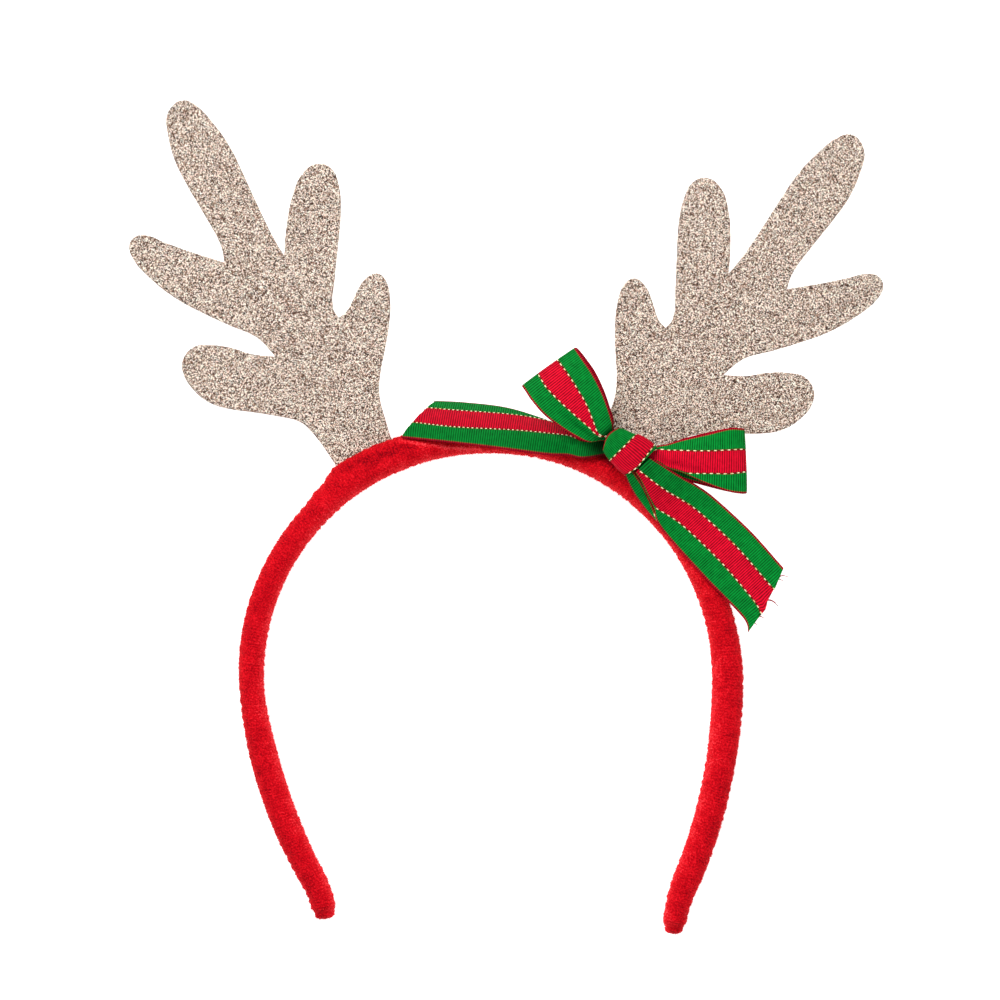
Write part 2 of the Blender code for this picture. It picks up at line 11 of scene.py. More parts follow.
import bmesh
import bpy
import numpy as np
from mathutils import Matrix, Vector


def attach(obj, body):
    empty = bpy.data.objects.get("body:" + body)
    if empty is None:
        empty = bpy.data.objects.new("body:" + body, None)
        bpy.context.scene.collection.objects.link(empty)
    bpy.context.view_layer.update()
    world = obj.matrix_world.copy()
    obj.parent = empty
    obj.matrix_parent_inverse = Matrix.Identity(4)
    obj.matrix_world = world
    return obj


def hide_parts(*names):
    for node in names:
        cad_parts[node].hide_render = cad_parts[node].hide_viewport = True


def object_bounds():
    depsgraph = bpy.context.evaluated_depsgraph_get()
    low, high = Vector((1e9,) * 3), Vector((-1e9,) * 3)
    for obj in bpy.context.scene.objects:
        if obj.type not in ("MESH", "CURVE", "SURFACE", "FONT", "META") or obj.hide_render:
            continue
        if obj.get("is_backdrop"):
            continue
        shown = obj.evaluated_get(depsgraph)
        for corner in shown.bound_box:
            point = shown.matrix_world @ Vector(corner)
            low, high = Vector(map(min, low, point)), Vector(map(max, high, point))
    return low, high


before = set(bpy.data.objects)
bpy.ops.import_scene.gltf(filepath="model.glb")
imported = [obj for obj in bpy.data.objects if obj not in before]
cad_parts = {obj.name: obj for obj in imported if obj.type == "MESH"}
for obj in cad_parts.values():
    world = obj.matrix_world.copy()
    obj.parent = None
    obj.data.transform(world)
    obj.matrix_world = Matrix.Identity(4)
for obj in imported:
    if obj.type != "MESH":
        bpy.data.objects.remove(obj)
cad_low, cad_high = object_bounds()
scene = bpy.context.scene
print("nodes:", ", ".join(sorted(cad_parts)))

# %% [markdown]
# ## Camera, table and light
# A product photograph like this one is taken from far away with a long lens, so that nothing bulges.
# The object lies on a light table: a white sheet, softly lit from below as well as from above, which
# swallows the shadows. A broad soft lamp stands at the upper left, and a weaker one at the right.

# %% Camera, table and light
MM = 0.001
PIXEL = 0.27 * MM
PICTURE = 1000
CAMERA_OVER = (2.7 * MM, -16.6 * MM)
CAMERA_HEIGHT = 2.0
SHARP_HEIGHT = 0.008
SENSOR = 36.0
SKY = 0.45
# Place, size in metres, watts.
LAMPS = {"key_lamp": ((-0.7, 0.9, 1.5), 0.8, 30), "fill_lamp": ((1.1, -0.2, 1.3), 1.0, 7)}
LAMPS_LOOK_AT = Vector((0, -0.02, 0))


def linear(red, green, blue):
    """An sRGB colour from 0 to 255 as Blender's linear one."""
    shares = [channel / 255 for channel in (red, green, blue)]
    return (*[s / 12.92 if s < 0.04045 else ((s + 0.055) / 1.055) ** 2.4 for s in shares], 1.0)


def add_lamp(name, place, size, watts):
    """A square soft lamp that looks at the middle of the headband."""
    lamp = bpy.data.lights.new(name, "AREA")
    lamp.size = size
    lamp.energy = watts
    holder = bpy.data.objects.new(name, lamp)
    holder.location = place
    holder.rotation_euler = (LAMPS_LOOK_AT - Vector(place)).to_track_quat("-Z", "Y").to_euler()
    holder.visible_camera = False
    scene.collection.objects.link(holder)


camera_data = bpy.data.cameras.new("camera")
camera_data.sensor_width = SENSOR
camera_data.lens = SENSOR * (CAMERA_HEIGHT - SHARP_HEIGHT) / (PICTURE * PIXEL)
camera = bpy.data.objects.new("camera", camera_data)
camera.location = (*CAMERA_OVER, CAMERA_HEIGHT)
scene.collection.objects.link(camera)
scene.camera = camera

for lamp_name, lamp_values in LAMPS.items():
    add_lamp(lamp_name, *lamp_values)
world = bpy.data.worlds.new("studio")
world.use_nodes = True
background = world.node_tree.nodes["Background"].inputs
background["Color"].default_value = (1.0, 1.0, 1.0, 1.0)
background["Strength"].default_value = SKY
scene.world = world
scene.view_settings.view_transform = "Standard"
print("lens", round(camera_data.lens), "mm")

# %% [markdown]
# ## A short way to write node trees
# Materials and Geometry Nodes are both trees of nodes. Written out call by call they are hard to read,
# so a `Signal` stands for one output socket, and sums and products of signals add Math nodes. Anything
# that isn't a sum is added by `Tree.add`, which takes a node's type, its settings and its sockets.

# %% Signals and trees
class Signal:
    """One output socket. Arithmetic on it adds Math nodes to its tree."""

    def __init__(self, tree, socket):
        self.tree = tree
        self.socket = socket

    def math(self, operation, *others):
        values = dict(enumerate((self, *others)))
        return self.tree.add("ShaderNodeMath", {"operation": operation}, values)

    def other(self, name):
        """Another output of the same node."""
        return Signal(self.tree, self.socket.node.outputs[name])

    def __add__(self, value):
        return self.math("ADD", value)

    def __sub__(self, value):
        return self.math("SUBTRACT", value)

    def __mul__(self, value):
        return self.math("MULTIPLY", value)

    def __truediv__(self, value):
        return self.math("DIVIDE", value)

    def __rsub__(self, value):
        return self.tree.add("ShaderNodeMath", {"operation": "SUBTRACT"}, {0: value, 1: self})

    def __rtruediv__(self, value):
        return self.tree.add("ShaderNodeMath", {"operation": "DIVIDE"}, {0: value, 1: self})

    __radd__ = __add__
    __rmul__ = __mul__

    def above(self, value):
        """1 where the signal is over the value, else 0."""
        return self.math("GREATER_THAN", value)

    def smooth(self, start, end):
        """Rises softly from 0 at start to 1 at end."""
        sockets = {"Value": self, "From Min": start, "From Max": end}
        return self.tree.add("ShaderNodeMapRange", {"interpolation_type": "SMOOTHSTEP"}, sockets)


class Tree:
    """A node tree that is filled by add()."""

    def __init__(self, nodes_and_links):
        self.made = nodes_and_links

    def add(self, kind, settings=None, sockets=None, output=0):
        node = self.made.nodes.new(kind)
        for name, value in (settings or {}).items():
            setattr(node, name, value)
        for name, value in (sockets or {}).items():
            if isinstance(value, Signal):
                self.made.links.new(value.socket, node.inputs[name])
            else:
                node.inputs[name].default_value = value
        return Signal(self, node.outputs[output]) if node.outputs else node

    def ramp(self, stops, tone):
        """Turns a tone into a colour."""
        colour = self.add("ShaderNodeValToRGB", {}, {0: tone})
        elements = colour.socket.node.color_ramp.elements
        while len(elements) < len(stops):
            elements.new(1.0)
        for element, (position, shade) in zip(elements, stops):
            element.position = position
            element.color = shade
        return colour

    def mix(self, share, first, second, blend="MIX"):
        """Mixes two colours."""
        settings = {"data_type": "RGBA", "blend_type": blend}
        return self.add("ShaderNodeMix", settings, {0: share, 6: first, 7: second}, output=2)

    def attribute(self, name):
        """A number that the mesh carries at each point."""
        return self.add("ShaderNodeAttribute", {"attribute_name": name}, output="Fac")

    def noise(self, scale, detail=2.0, place=None):
        """Soft noise over a place, which is the piece's own space if none is given."""
        place = place or self.add("ShaderNodeTexCoord", output="Object")
        return self.add("ShaderNodeTexNoise", {}, {"Vector": place, "Scale": scale, "Detail": detail})

    def bump(self, strength, distance, height):
        sockets = {"Strength": strength, "Distance": distance, "Height": height}
        return self.add("ShaderNodeBump", {}, sockets)


def start_material(name, **constants):
    """A material's tree and its Principled shader, with the sockets that are the same all over set."""
    material = bpy.data.materials.new(name)
    material.use_nodes = True
    shader = material.node_tree.nodes["Principled BSDF"]
    for socket, value in constants.items():
        shader.inputs[socket.replace("_", " ")].default_value = value
    return material, Tree(material.node_tree), shader


def feed(tree, shader, **signals):
    """Links signals to the shader's sockets."""
    for socket, signal in signals.items():
        tree.made.links.new(signal.socket, shader.inputs[socket.replace("_", " ")])


# %% [markdown]
# Geometry Nodes are used below for everything that repeats: nap, glitter flakes, ribs and stitches.
# A tree gets named inputs, is put on a piece as a modifier, and what it gives is kept as a plain mesh.

# %% Geometry Nodes helpers
SOCKETS = {"Geometry": "NodeSocketGeometry", "Material": "NodeSocketMaterial", "Seed": "NodeSocketInt"}


def start_nodes(name, *titles):
    """A geometry tree with named inputs. Gives the tree and a signal for each input."""
    group = bpy.data.node_groups.new(name, "GeometryNodeTree")
    group.is_modifier = True
    titles = ("Geometry", *titles, "Material")
    for title in titles:
        kind = SOCKETS.get(title, "NodeSocketFloat")
        group.interface.new_socket(title, in_out="INPUT", socket_type=kind)
    group.interface.new_socket("Geometry", in_out="OUTPUT", socket_type=SOCKETS["Geometry"])
    tree = Tree(group)
    entry = tree.add("NodeGroupInput")
    return tree, {title: entry.other(title) for title in titles}


def end_nodes(tree, geometry, material):
    """Ends a tree: real copies instead of instances, then the material."""
    real = tree.add("GeometryNodeRealizeInstances", {}, {"Geometry": geometry})
    dressed = tree.add("GeometryNodeSetMaterial", {}, {"Geometry": real, "Material": material})
    tree.add("NodeGroupOutput", {}, {0: dressed})


def named(tree, name, kind="FLOAT"):
    """An attribute of the mesh that a geometry tree works on."""
    return tree.add("GeometryNodeInputNamedAttribute", {"data_type": kind}, {"Name": name})


def random_number(tree, low, high, seed):
    sockets = {2: low, 3: high, "Seed": seed}
    return tree.add("FunctionNodeRandomValue", {"data_type": "FLOAT"}, sockets, output=1)


def random_vector(tree, low, high, seed):
    sockets = {0: low, 1: high, "Seed": seed}
    return tree.add("FunctionNodeRandomValue", {"data_type": "FLOAT_VECTOR"}, sockets, output=0)


def scale_vector(tree, vector, factor):
    return tree.add("ShaderNodeVectorMath", {"operation": "SCALE"}, {0: vector, "Scale": factor})


def lift_surface(tree, given, lift):
    """Moves the surface along its normals, and ends the tree."""
    offset = scale_vector(tree, tree.add("GeometryNodeInputNormal"), lift)
    sockets = {"Geometry": given["Geometry"], "Offset": offset}
    end_nodes(tree, tree.add("GeometryNodeSetPosition", {}, sockets), given["Material"])
    return tree


def turn_further(tree, rotation, by):
    """A rotation, turned further about its own axes."""
    return tree.add("FunctionNodeRotateRotation", {"rotation_space": "LOCAL"}, {0: rotation, 1: by})


def stand_on(tree, points, shape, rotation, size):
    sockets = {"Points": points, "Instance": shape, "Rotation": rotation, "Scale": size}
    return tree.add("GeometryNodeInstanceOnPoints", {}, sockets)


def number_copies(tree, copies, titles, seed):
    """Gives each copy a random number from 0 to 1 under each title."""
    settings = {"data_type": "FLOAT", "domain": "INSTANCE"}
    for step, title in enumerate(titles):
        value = random_number(tree, 0.0, 1.0, seed + step)
        sockets = {"Geometry": copies, "Name": title, "Value": value}
        copies = tree.add("GeometryNodeStoreNamedAttribute", settings, sockets)
    return copies


def add_piece(name, mesh, material=None):
    piece = bpy.data.objects.new(name, mesh)
    if material:
        mesh.materials.append(material)
    scene.collection.objects.link(piece)
    return piece


def grow(name, base, tree, values):
    """Runs a geometry tree on a piece and keeps what it gives as a new piece of plain mesh."""
    modifier = base.modifiers.new(tree.made.name, "NODES")
    modifier.node_group = tree.made
    for item in tree.made.interface.items_tree:
        if item.in_out == "INPUT" and item.name in values:
            modifier[item.identifier] = values[item.name]
    bpy.context.view_layer.update()
    graph = bpy.context.evaluated_depsgraph_get()
    evaluated = base.evaluated_get(graph)
    mesh = bpy.data.meshes.new_from_object(evaluated, preserve_all_data_layers=True, depsgraph=graph)
    base.modifiers.remove(modifier)
    print(name, sum(len(face.vertices) - 2 for face in mesh.polygons), "triangles")
    return add_piece(name, mesh)


def closed_piece(name, points, faces, material=None, **attributes):
    """A smooth closed piece with its faces turned outwards, and numbers kept at each point."""
    mesh = bpy.data.meshes.new(name)
    mesh.from_pydata([tuple(point) for point in points], [], faces)
    for title, values in attributes.items():
        layer = mesh.attributes.new(title, "FLOAT", "POINT")
        layer.data.foreach_set("value", np.asarray(values, np.float32))
    mesh.shade_smooth()
    worker = bmesh.new()
    worker.from_mesh(mesh)
    bmesh.ops.recalc_face_normals(worker, faces=worker.faces)
    worker.to_mesh(mesh)
    worker.free()
    return add_piece(name, mesh, material)


# %% [markdown]
# ## The table
# A white sheet that glows a little. The glow stands for the lamp under a light table.

# %% Table
TABLE_REACH = 3.0
TABLE_HEIGHT = -0.3 * MM


def make_table():
    corners = [(x * TABLE_REACH, y * TABLE_REACH) for x, y in ((-1, -1), (1, -1), (1, 1), (-1, 1))]
    mesh = bpy.data.meshes.new("table")
    mesh.from_pydata([(x, y, TABLE_HEIGHT) for x, y in corners], [], [(0, 1, 2, 3)])
    material, tree, shader = start_material(
        "table_sheet", Roughness=0.8, Emission_Color=(1, 1, 1, 1), Emission_Strength=0.85
    )
    grain = tree.add("ShaderNodeTexNoise", {}, {"Scale": 40.0})
    feed(tree, shader, Base_Color=tree.mix(grain, (0.93, 0.93, 0.93, 1), (0.95, 0.95, 0.95, 1)))
    add_piece("table", mesh, material)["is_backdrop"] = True


make_table()

# %% [markdown]
# ## The arch
# The real band is a strip of spring steel or plastic in a padded sleeve. Its line is a chain of
# circular arcs, tight at the crown, slack down the legs and turned out at the ends. The line is sampled
# once, and every other piece finds its place on it. The shares below are the same as in the solids.

# %% The arch's line and thickness
ARCH_RADIUS = 65 * MM
BAND_WIDTH = 7.6 * MM
BAND_DEPTH = 11 * MM
BAND_BOXINESS = 2.4
RIB_ROOM = 0.3 * MM
CLEARANCE = 0.3 * MM
LEFT, RIGHT = -1, 1
ARCS = {
    LEFT: [(1.00, 57), (0.955, 42), (2.14, 20), (0.46, -20)],
    RIGHT: [(0.97, 44), (1.03, 47), (2.17, 22), (0.70, -17)],
}
# Place along the side, reach inwards, reach outwards, depth.
BAND_SECTIONS = {
    LEFT: [
        (0.00, 0.51, 0.58, 1.00), (0.13, 0.49, 0.65, 1.00), (0.20, 0.47, 0.75, 1.00),
        (0.24, 0.46, 0.80, 1.00), (0.28, 0.46, 0.56, 0.99), (0.32, 0.46, 0.45, 0.98),
        (0.52, 0.45, 0.45, 0.94), (0.62, 0.43, 0.43, 0.92), (0.74, 0.49, 0.49, 0.90),
        (0.84, 0.49, 0.49, 0.88), (0.91, 0.46, 0.46, 0.85), (0.985, 0.42, 0.42, 0.80),
        (1.00, 0.34, 0.34, 0.64),
    ],
    RIGHT: [
        (0.00, 0.51, 0.58, 1.00), (0.13, 0.48, 0.65, 1.00), (0.21, 0.48, 0.76, 1.00),
        (0.26, 0.49, 0.74, 1.00), (0.30, 0.49, 0.56, 0.99), (0.36, 0.48, 0.50, 0.97),
        (0.50, 0.50, 0.50, 0.94), (0.58, 0.54, 0.54, 0.93), (0.66, 0.54, 0.54, 0.91),
        (0.74, 0.51, 0.51, 0.90), (0.90, 0.49, 0.49, 0.86), (0.985, 0.41, 0.41, 0.80),
        (1.00, 0.30, 0.30, 0.60),
    ],
}


def side_length(side):
    return sum(ARCH_RADIUS * share * math.radians(abs(turn)) for share, turn in ARCS[side])


def arch_at(side, distance):
    """The point on the arch's centreline and the way outwards there."""
    x = y = heading = 0.0
    for share, turn in ARCS[side]:
        radius = ARCH_RADIUS * share
        step = min(distance, radius * math.radians(abs(turn)))
        bend = math.copysign(step / radius, -turn)
        signed_radius = math.copysign(radius, -turn)
        x += signed_radius * (math.sin(heading + bend) - math.sin(heading))
        y += signed_radius * (math.cos(heading) - math.cos(heading + bend))
        heading += bend
        distance -= step
    outwards = np.array((-side * math.sin(heading), math.cos(heading), 0.0))
    return np.array((side * x, y, 0.0)), outwards


def band_section(side, distance):
    """Reach inwards, reach outwards and depth, eased between the table's rows."""
    place = min(distance / side_length(side), 1.0)
    rows = BAND_SECTIONS[side]
    for first, second in zip(rows, rows[1:]):
        if place <= second[0]:
            share = (place - first[0]) / (second[0] - first[0])
            share = share * share * (3 - 2 * share)
            sizes = [a + (b - a) * share for a, b in zip(first[1:], second[1:])]
            return np.array(sizes) * (BAND_WIDTH, BAND_WIDTH, BAND_DEPTH)


def sample_arch(step):
    """Places every step from the left end to the right one: signed distance, point, way out, section."""
    samples = []
    for side in (LEFT, RIGHT):
        count = round(side_length(side) / step)
        part = []
        for i in range(count + 1):
            distance = side_length(side) * i / count
            part.append((side * distance, *arch_at(side, distance), band_section(side, distance)))
        samples += part[::-1] if side == LEFT else part[1:]
    return samples


ARCH_STEP = 0.27 * MM
ARCH = sample_arch(ARCH_STEP)
print("arch", round((side_length(LEFT) + side_length(RIGHT)) / MM), "mm long,", len(ARCH), "samples")

# %% [markdown]
# ## The velour cover
# Velour is a knit with a short pile. On the real band it is stretched over the padding and gathered
# a little, so it shows shallow ribs across, small notches along its edges, and a fine pile that looks
# dark where it points at you and bright where it turns away. A ring of points is swept along the arch,
# a geometry tree presses ribs and dimples into it, and a second tree plants the pile as tiny tufts.
# The pile's sheen and the shade of the cover's creases are also painted into its colour: painted sheen
# across the band, painted shade and highlights along a few lines.

# %% The cover's shape
COVER_SIDES = 56
CAP_STEPS = 6
CAP_STEP = 0.3 * MM
CAP_LENGTH = 1.2 * MM


def boxy(angle, boxiness):
    """A point on a figure between an ellipse and a box, of half sizes 1."""
    across = np.sign(np.cos(angle)) * np.abs(np.cos(angle)) ** (2 / boxiness)
    up = np.sign(np.sin(angle)) * np.abs(np.sin(angle)) ** (2 / boxiness)
    return across, up


def close_grid(rows, columns):
    """Quads between rings of points, in which the last point meets the first."""
    faces = []
    for start in range(0, (rows - 1) * columns, columns):
        for k in range(columns):
            first, after = start + k, start + (k + 1) % columns
            faces.append((first, after, after + columns, first + columns))
    return faces


def ring_ends(count, columns):
    """The faces that close the first ring and the last one."""
    return [tuple(range(columns)), tuple(range(count - columns, count))]


# Lines on the cover, in millimetres: points, half width, height, and the painted shade and highlight there.
# Painted shade in a groove left of the crown, painted highlights on two ridges, the brighter one under the
# left tail's lower edge, and a painted shadow, with no height, in the gap between the left tail and the
# knot.
RELIEF_AND_PAINTED_SHADING = [
    ([(-39.2, -7.7), (-30.2, -4.7), (-21.1, -2.3)], 1.5, -0.55, -0.55),
    ([(-42.5, -8.0), (-33.5, -3.2), (-26.5, -0.7)], 0.9, 0.15, 0.45),
    ([(-24.4, -0.6), (-18.4, -1.5), (-10.4, -2.6), (-2.7, -3.0)], 0.5, 0.35, 1.6),
    ([(30.2, -4.6), (33.2, -7.2)], 1.0, 0.0, -1.5),
]


def nearness(points, line, width):
    """1 on a line drawn over the cover, and softly down to 0 away from it."""
    best = np.full(len(points), np.inf)
    for first, second in zip(np.array(line), np.array(line)[1:]):
        step = second - first
        share = np.clip((points - first) @ step / (step @ step), 0, 1)
        best = np.minimum(best, np.linalg.norm(points - first - share[:, None] * step, axis=1))
    return np.exp(-((best / width) ** 2))


def cover_stations():
    """For each ring: the arch's sample, the place along, how far it is pushed on, and how large it is."""
    stations = [(sample, sample[0], 0.0, 1.0) for sample in ARCH]
    for end, sample in ((-1, ARCH[0]), (1, ARCH[-1])):
        caps = []
        for k in range(1, CAP_STEPS + 1):
            angle = k / CAP_STEPS * math.pi / 2
            place = sample[0] + end * k * CAP_STEP
            caps.append((sample, place, end * math.sin(angle) * CAP_LENGTH, max(math.cos(angle), 0.05)))
        stations = caps[::-1] + stations if end < 0 else stations + caps
    return stations


def make_cover():
    """The padded sleeve with its back flattened and its ends rounded off."""
    shares = np.arange(COVER_SIDES) / COVER_SIDES
    across, up = boxy(2 * math.pi * (shares - 0.25), BAND_BOXINESS)
    rings = []
    places = []
    for (_, centre, outwards, (inner, outer, depth)), place, push, shrink in cover_stations():
        onwards = np.array((outwards[1], -outwards[0], 0.0))
        reach = np.where(across > 0, outer, inner) * across * (0.35 + 0.65 * shrink)
        ring = centre + onwards * push + np.outer(reach, outwards)
        ring[:, 2] = np.maximum(depth / 2 + up * depth / 2 * shrink, 0.0)
        rings.append(ring)
        places.append(place)
    points = np.vstack(rings)
    pressed = np.zeros(len(points))
    front = np.clip(np.tile(up, len(rings)), 0, 1)
    # Each line moves the cover's front by its height and adds its tone to the painted shade and highlights
    # in the cover's colour.
    for line, width, height, tone in RELIEF_AND_PAINTED_SHADING:
        near = nearness(points[:, :2] / MM, line, width) * front
        points[:, 2] += near * height * MM
        pressed += near * tone
    faces = close_grid(len(rings), COVER_SIDES) + ring_ends(len(points), COVER_SIDES)
    along = np.repeat(places, COVER_SIDES)
    around = np.tile(shares, len(rings))
    return closed_piece("cover_form", points, faces, along=along, around=around, pressed=pressed)


cover_form = make_cover()
print("cover form", len(cover_form.data.polygons), "faces")

# %% Gathers, wales and dimples in the cover
def cover_nodes():
    """Gathers are the slow ribs that notch the edges, and wales the fine even ones of the knit."""
    tree, given = start_nodes(
        "gathered_cover", "Gather Pitch", "Gather Height", "Wale Pitch", "Wale Height", "Dimple Size",
        "Dimple Depth",
    )
    along = named(tree, "along")
    around = named(tree, "around")
    place = tree.add("GeometryNodeInputPosition")

    def noise(scale, detail=1.0):
        return tree.noise(scale, detail, place)

    phase = along / given["Gather Pitch"] + noise(160.0) * 1.6 + around * 0.7
    gathers = (phase * (2 * math.pi)).math("SINE") * (noise(90.0).smooth(0.35, 0.62) * 0.85 + 0.15)
    to_edge = ((around * (4 * math.pi)).math("COSINE") * -0.5 + 0.5) * 0.6 + 0.4
    wales = ((along / given["Wale Pitch"] + noise(60.0) * 0.9) * (2 * math.pi)).math("SINE")
    wales = wales * (noise(130.0).smooth(0.3, 0.6) * 0.7 + 0.3)
    dimples = noise(1 / given["Dimple Size"], 2.0) - 0.5
    lift = gathers * given["Gather Height"] * to_edge + wales * given["Wale Height"]
    return lift_surface(tree, given, lift + dimples * given["Dimple Depth"])


# %% Velour finish
WALE_PITCH = 0.81 * MM
VELOUR_STOPS = [
    (0.00, linear(118, 0, 14)),
    (0.25, linear(178, 2, 18)),
    (0.50, linear(208, 8, 24)),
    (0.75, linear(232, 18, 34)),
    (1.00, linear(255, 70, 78)),
]


def wale_tone(tree, around):
    """Rises and falls between -1 and 1 with the wales."""
    phase = tree.attribute("along") / WALE_PITCH + tree.noise(60.0, 1.0) * 0.9 + around * 3.0
    return (phase * (2 * math.pi)).math("SINE")


def velour_material():
    """Red pile, streaked by the knit and by how it was brushed, with painted sheen: brighter towards the
    arch's inside, darker along the outer part of its front. The cover's painted shade and highlights are
    added on top.
    """
    material, tree, shader = start_material(
        "red_velour", Sheen_Weight=0.12, Sheen_Roughness=0.4, Sheen_Tint=(1.0, 0.1, 0.1, 1.0),
        Specular_IOR_Level=0.06,
    )
    around = tree.attribute("around")
    brushed = tree.noise(260.0, 3.0).smooth(0.3, 0.7)
    grain = tree.noise(2600.0).smooth(0.34, 0.66)
    # Painted sheen: the pile is painted darker along the outer part of the front and brighter towards the
    # arch's inside.
    middle = (around - 0.42).math("ABSOLUTE").smooth(0.16, 0.0)
    tone = 0.50 + around.smooth(0.52, 0.72) * 0.24 - middle * 0.10
    tone = tone + (brushed - 0.5) * 0.2 + (grain - 0.5) * 0.5 + wale_tone(tree, around) * 0.05
    # The cover's painted shade and highlights from its lines are added to the tone.
    colour = tree.ramp(VELOUR_STOPS, tone + tree.attribute("pressed") * 0.3)
    bump = tree.bump(0.6, 0.2 * MM, grain)
    feed(tree, shader, Base_Color=colour, Roughness=0.98 - grain * 0.2, Normal=bump)
    return material


COVER_VALUES = {
    "Gather Pitch": 2.5 * MM, "Gather Height": 0.15 * MM, "Wale Pitch": WALE_PITCH,
    "Wale Height": 0.045 * MM, "Dimple Size": 2.2 * MM, "Dimple Depth": 0.3 * MM,
    "Material": velour_material(),
}
velour_band = grow("velour_band", cover_form, cover_nodes(), COVER_VALUES)
bpy.data.objects.remove(cover_form)

# %% The pile
def pile_nodes():
    """Tiny leaning cones, planted at random where the cover doesn't face down onto the table."""
    tree, given = start_nodes("velour_pile", "Density", "Length", "Thickness", "Lean", "Seed")
    seed = given["Seed"]
    up = tree.add("ShaderNodeSeparateXYZ", {}, {0: tree.add("GeometryNodeInputNormal")}, output="Z")
    sockets = {
        "Mesh": given["Geometry"], "Selection": up.above(-0.8), "Density": given["Density"], "Seed": seed,
    }
    planted = tree.add("GeometryNodeDistributePointsOnFaces", {}, sockets)
    cone = {"Vertices": 3, "Radius Bottom": given["Thickness"], "Depth": given["Length"]}
    tuft = tree.add("GeometryNodeMeshCone", {}, cone)
    lean = scale_vector(tree, random_vector(tree, (-1, -1, -1), (1, 1, 1), seed + 1), given["Lean"])
    long = random_number(tree, 0.5, 1.2, seed + 2)
    size = tree.add("ShaderNodeCombineXYZ", {}, {0: 1.0, 1: 1.0, 2: long})
    tufts = stand_on(tree, planted, tuft, turn_further(tree, planted.other("Rotation"), lean), size)
    end_nodes(tree, number_copies(tree, tufts, ["tone"], seed + 3), given["Material"])
    return tree


def pile_material():
    """Each tuft's own tone, with painted sheen brighter on the arch's inside, and the cover's painted shade
    in its groove and beside the knot and painted highlights on its ridges.
    """
    material, tree, shader = start_material("velour_pile", Roughness=0.9, Specular_IOR_Level=0.05)
    around = tree.attribute("around")
    tone = tree.attribute("tone") * 0.62 + wale_tone(tree, around) * 0.11
    # Painted sheen towards the arch's inside, and the cover's painted shade and highlights.
    tone = tone + around.smooth(0.52, 0.72) * 0.22 + tree.attribute("pressed") * 0.3 + 0.21
    feed(tree, shader, Base_Color=tree.ramp(VELOUR_STOPS, tone))
    return material


PILE_VALUES = {
    "Density": 4.2e6, "Length": 0.5 * MM, "Thickness": 0.07 * MM, "Lean": 0.75, "Seed": 3,
    "Material": pile_material(),
}
velour_pile = grow("velour_pile", velour_band, pile_nodes(), PILE_VALUES)

# %% [markdown]
# ## The glitter antlers
# Each antler is one piece of soft sheet, 2 mm thick, with flakes of champagne glitter glued all over
# its front and back. The flakes lie at random tilts, so some catch the lamp and some go dark. The solid
# already has the outline, so a copy of it is cleaned and given a small rounded edge. The flakes are
# planted by a geometry tree: tens of thousands of real facets look more like glitter than a pattern does.
# Their colours also hold painted glints and painted dark facets: the tones run from dark brown to white
# round the champagne.

# %% The sheets
def on_rim(edge):
    """True on the outline's edges, which bend sharply and lie level."""
    first, second = (corner.co.z for corner in edge.verts)
    return edge.calc_face_angle(0) > math.radians(60) and abs(first - second) < 0.1 * MM


def make_sheet(node, name, material):
    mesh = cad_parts[node].data.copy()
    mesh.materials.clear()
    worker = bmesh.new()
    worker.from_mesh(mesh)
    bmesh.ops.remove_doubles(worker, verts=worker.verts, dist=0.01 * MM)
    bmesh.ops.dissolve_limit(worker, angle_limit=math.radians(1), verts=worker.verts, edges=worker.edges)
    rim = [edge for edge in worker.edges if on_rim(edge)]
    bmesh.ops.bevel(
        worker, geom=rim, offset=0.3 * MM, segments=2, profile=0.5, affect="EDGES", clamp_overlap=True
    )
    bmesh.ops.triangulate(worker, faces=[face for face in worker.faces if len(face.verts) > 4])
    worker.to_mesh(mesh)
    worker.free()
    mesh.shade_flat()
    return add_piece(name, mesh, material)


# %% Glitter finish
# Champagne round the middle; the dark brown end is painted dark facets and the white end painted glints.
GLITTER_TONES_AND_GLINTS = [
    (0.00, linear(38, 22, 16)),
    (0.26, linear(67, 44, 35)),
    (0.46, linear(133, 100, 84)),
    (0.59, linear(194, 166, 149)),
    (0.70, linear(250, 237, 226)),
    (1.00, linear(255, 255, 253)),
]
SHEET_GRAIN = 0.26 * MM


def glitter_material(name, planted):
    """Facets of mixed tones, from dark brown to white: champagne glitter with painted glints and painted
    dark facets, for flakes that catch the lamp and flakes that miss it. A planted flake has its own
    numbers, and the sheet a pattern of cells.
    """
    material, tree, shader = start_material(name)
    if planted:
        tone, hue, dull = (tree.attribute(title) for title in ("tone", "hue", "dull"))
    else:
        place = tree.add("ShaderNodeTexCoord", output="Object")
        sockets = {"Vector": place, "Scale": 1 / SHEET_GRAIN}
        cells = tree.add("ShaderNodeTexVoronoi", {}, sockets, output="Color")
        tone = tree.add("ShaderNodeSeparateColor", {}, {0: cells})
        hue, dull = tone.other("Green"), tone.other("Blue")
    tint = tree.mix(hue, (1.0, 0.83, 0.775, 1), (0.958, 1.0, 0.90, 1))
    feed(
        tree,
        shader,
        Base_Color=tree.mix(1.0, tree.ramp(GLITTER_TONES_AND_GLINTS, tone), tint, "MULTIPLY"),
        Metallic=hue.smooth(0.3, 1.0) * 0.5,
        Roughness=0.3 + dull * 0.4,
    )
    return material


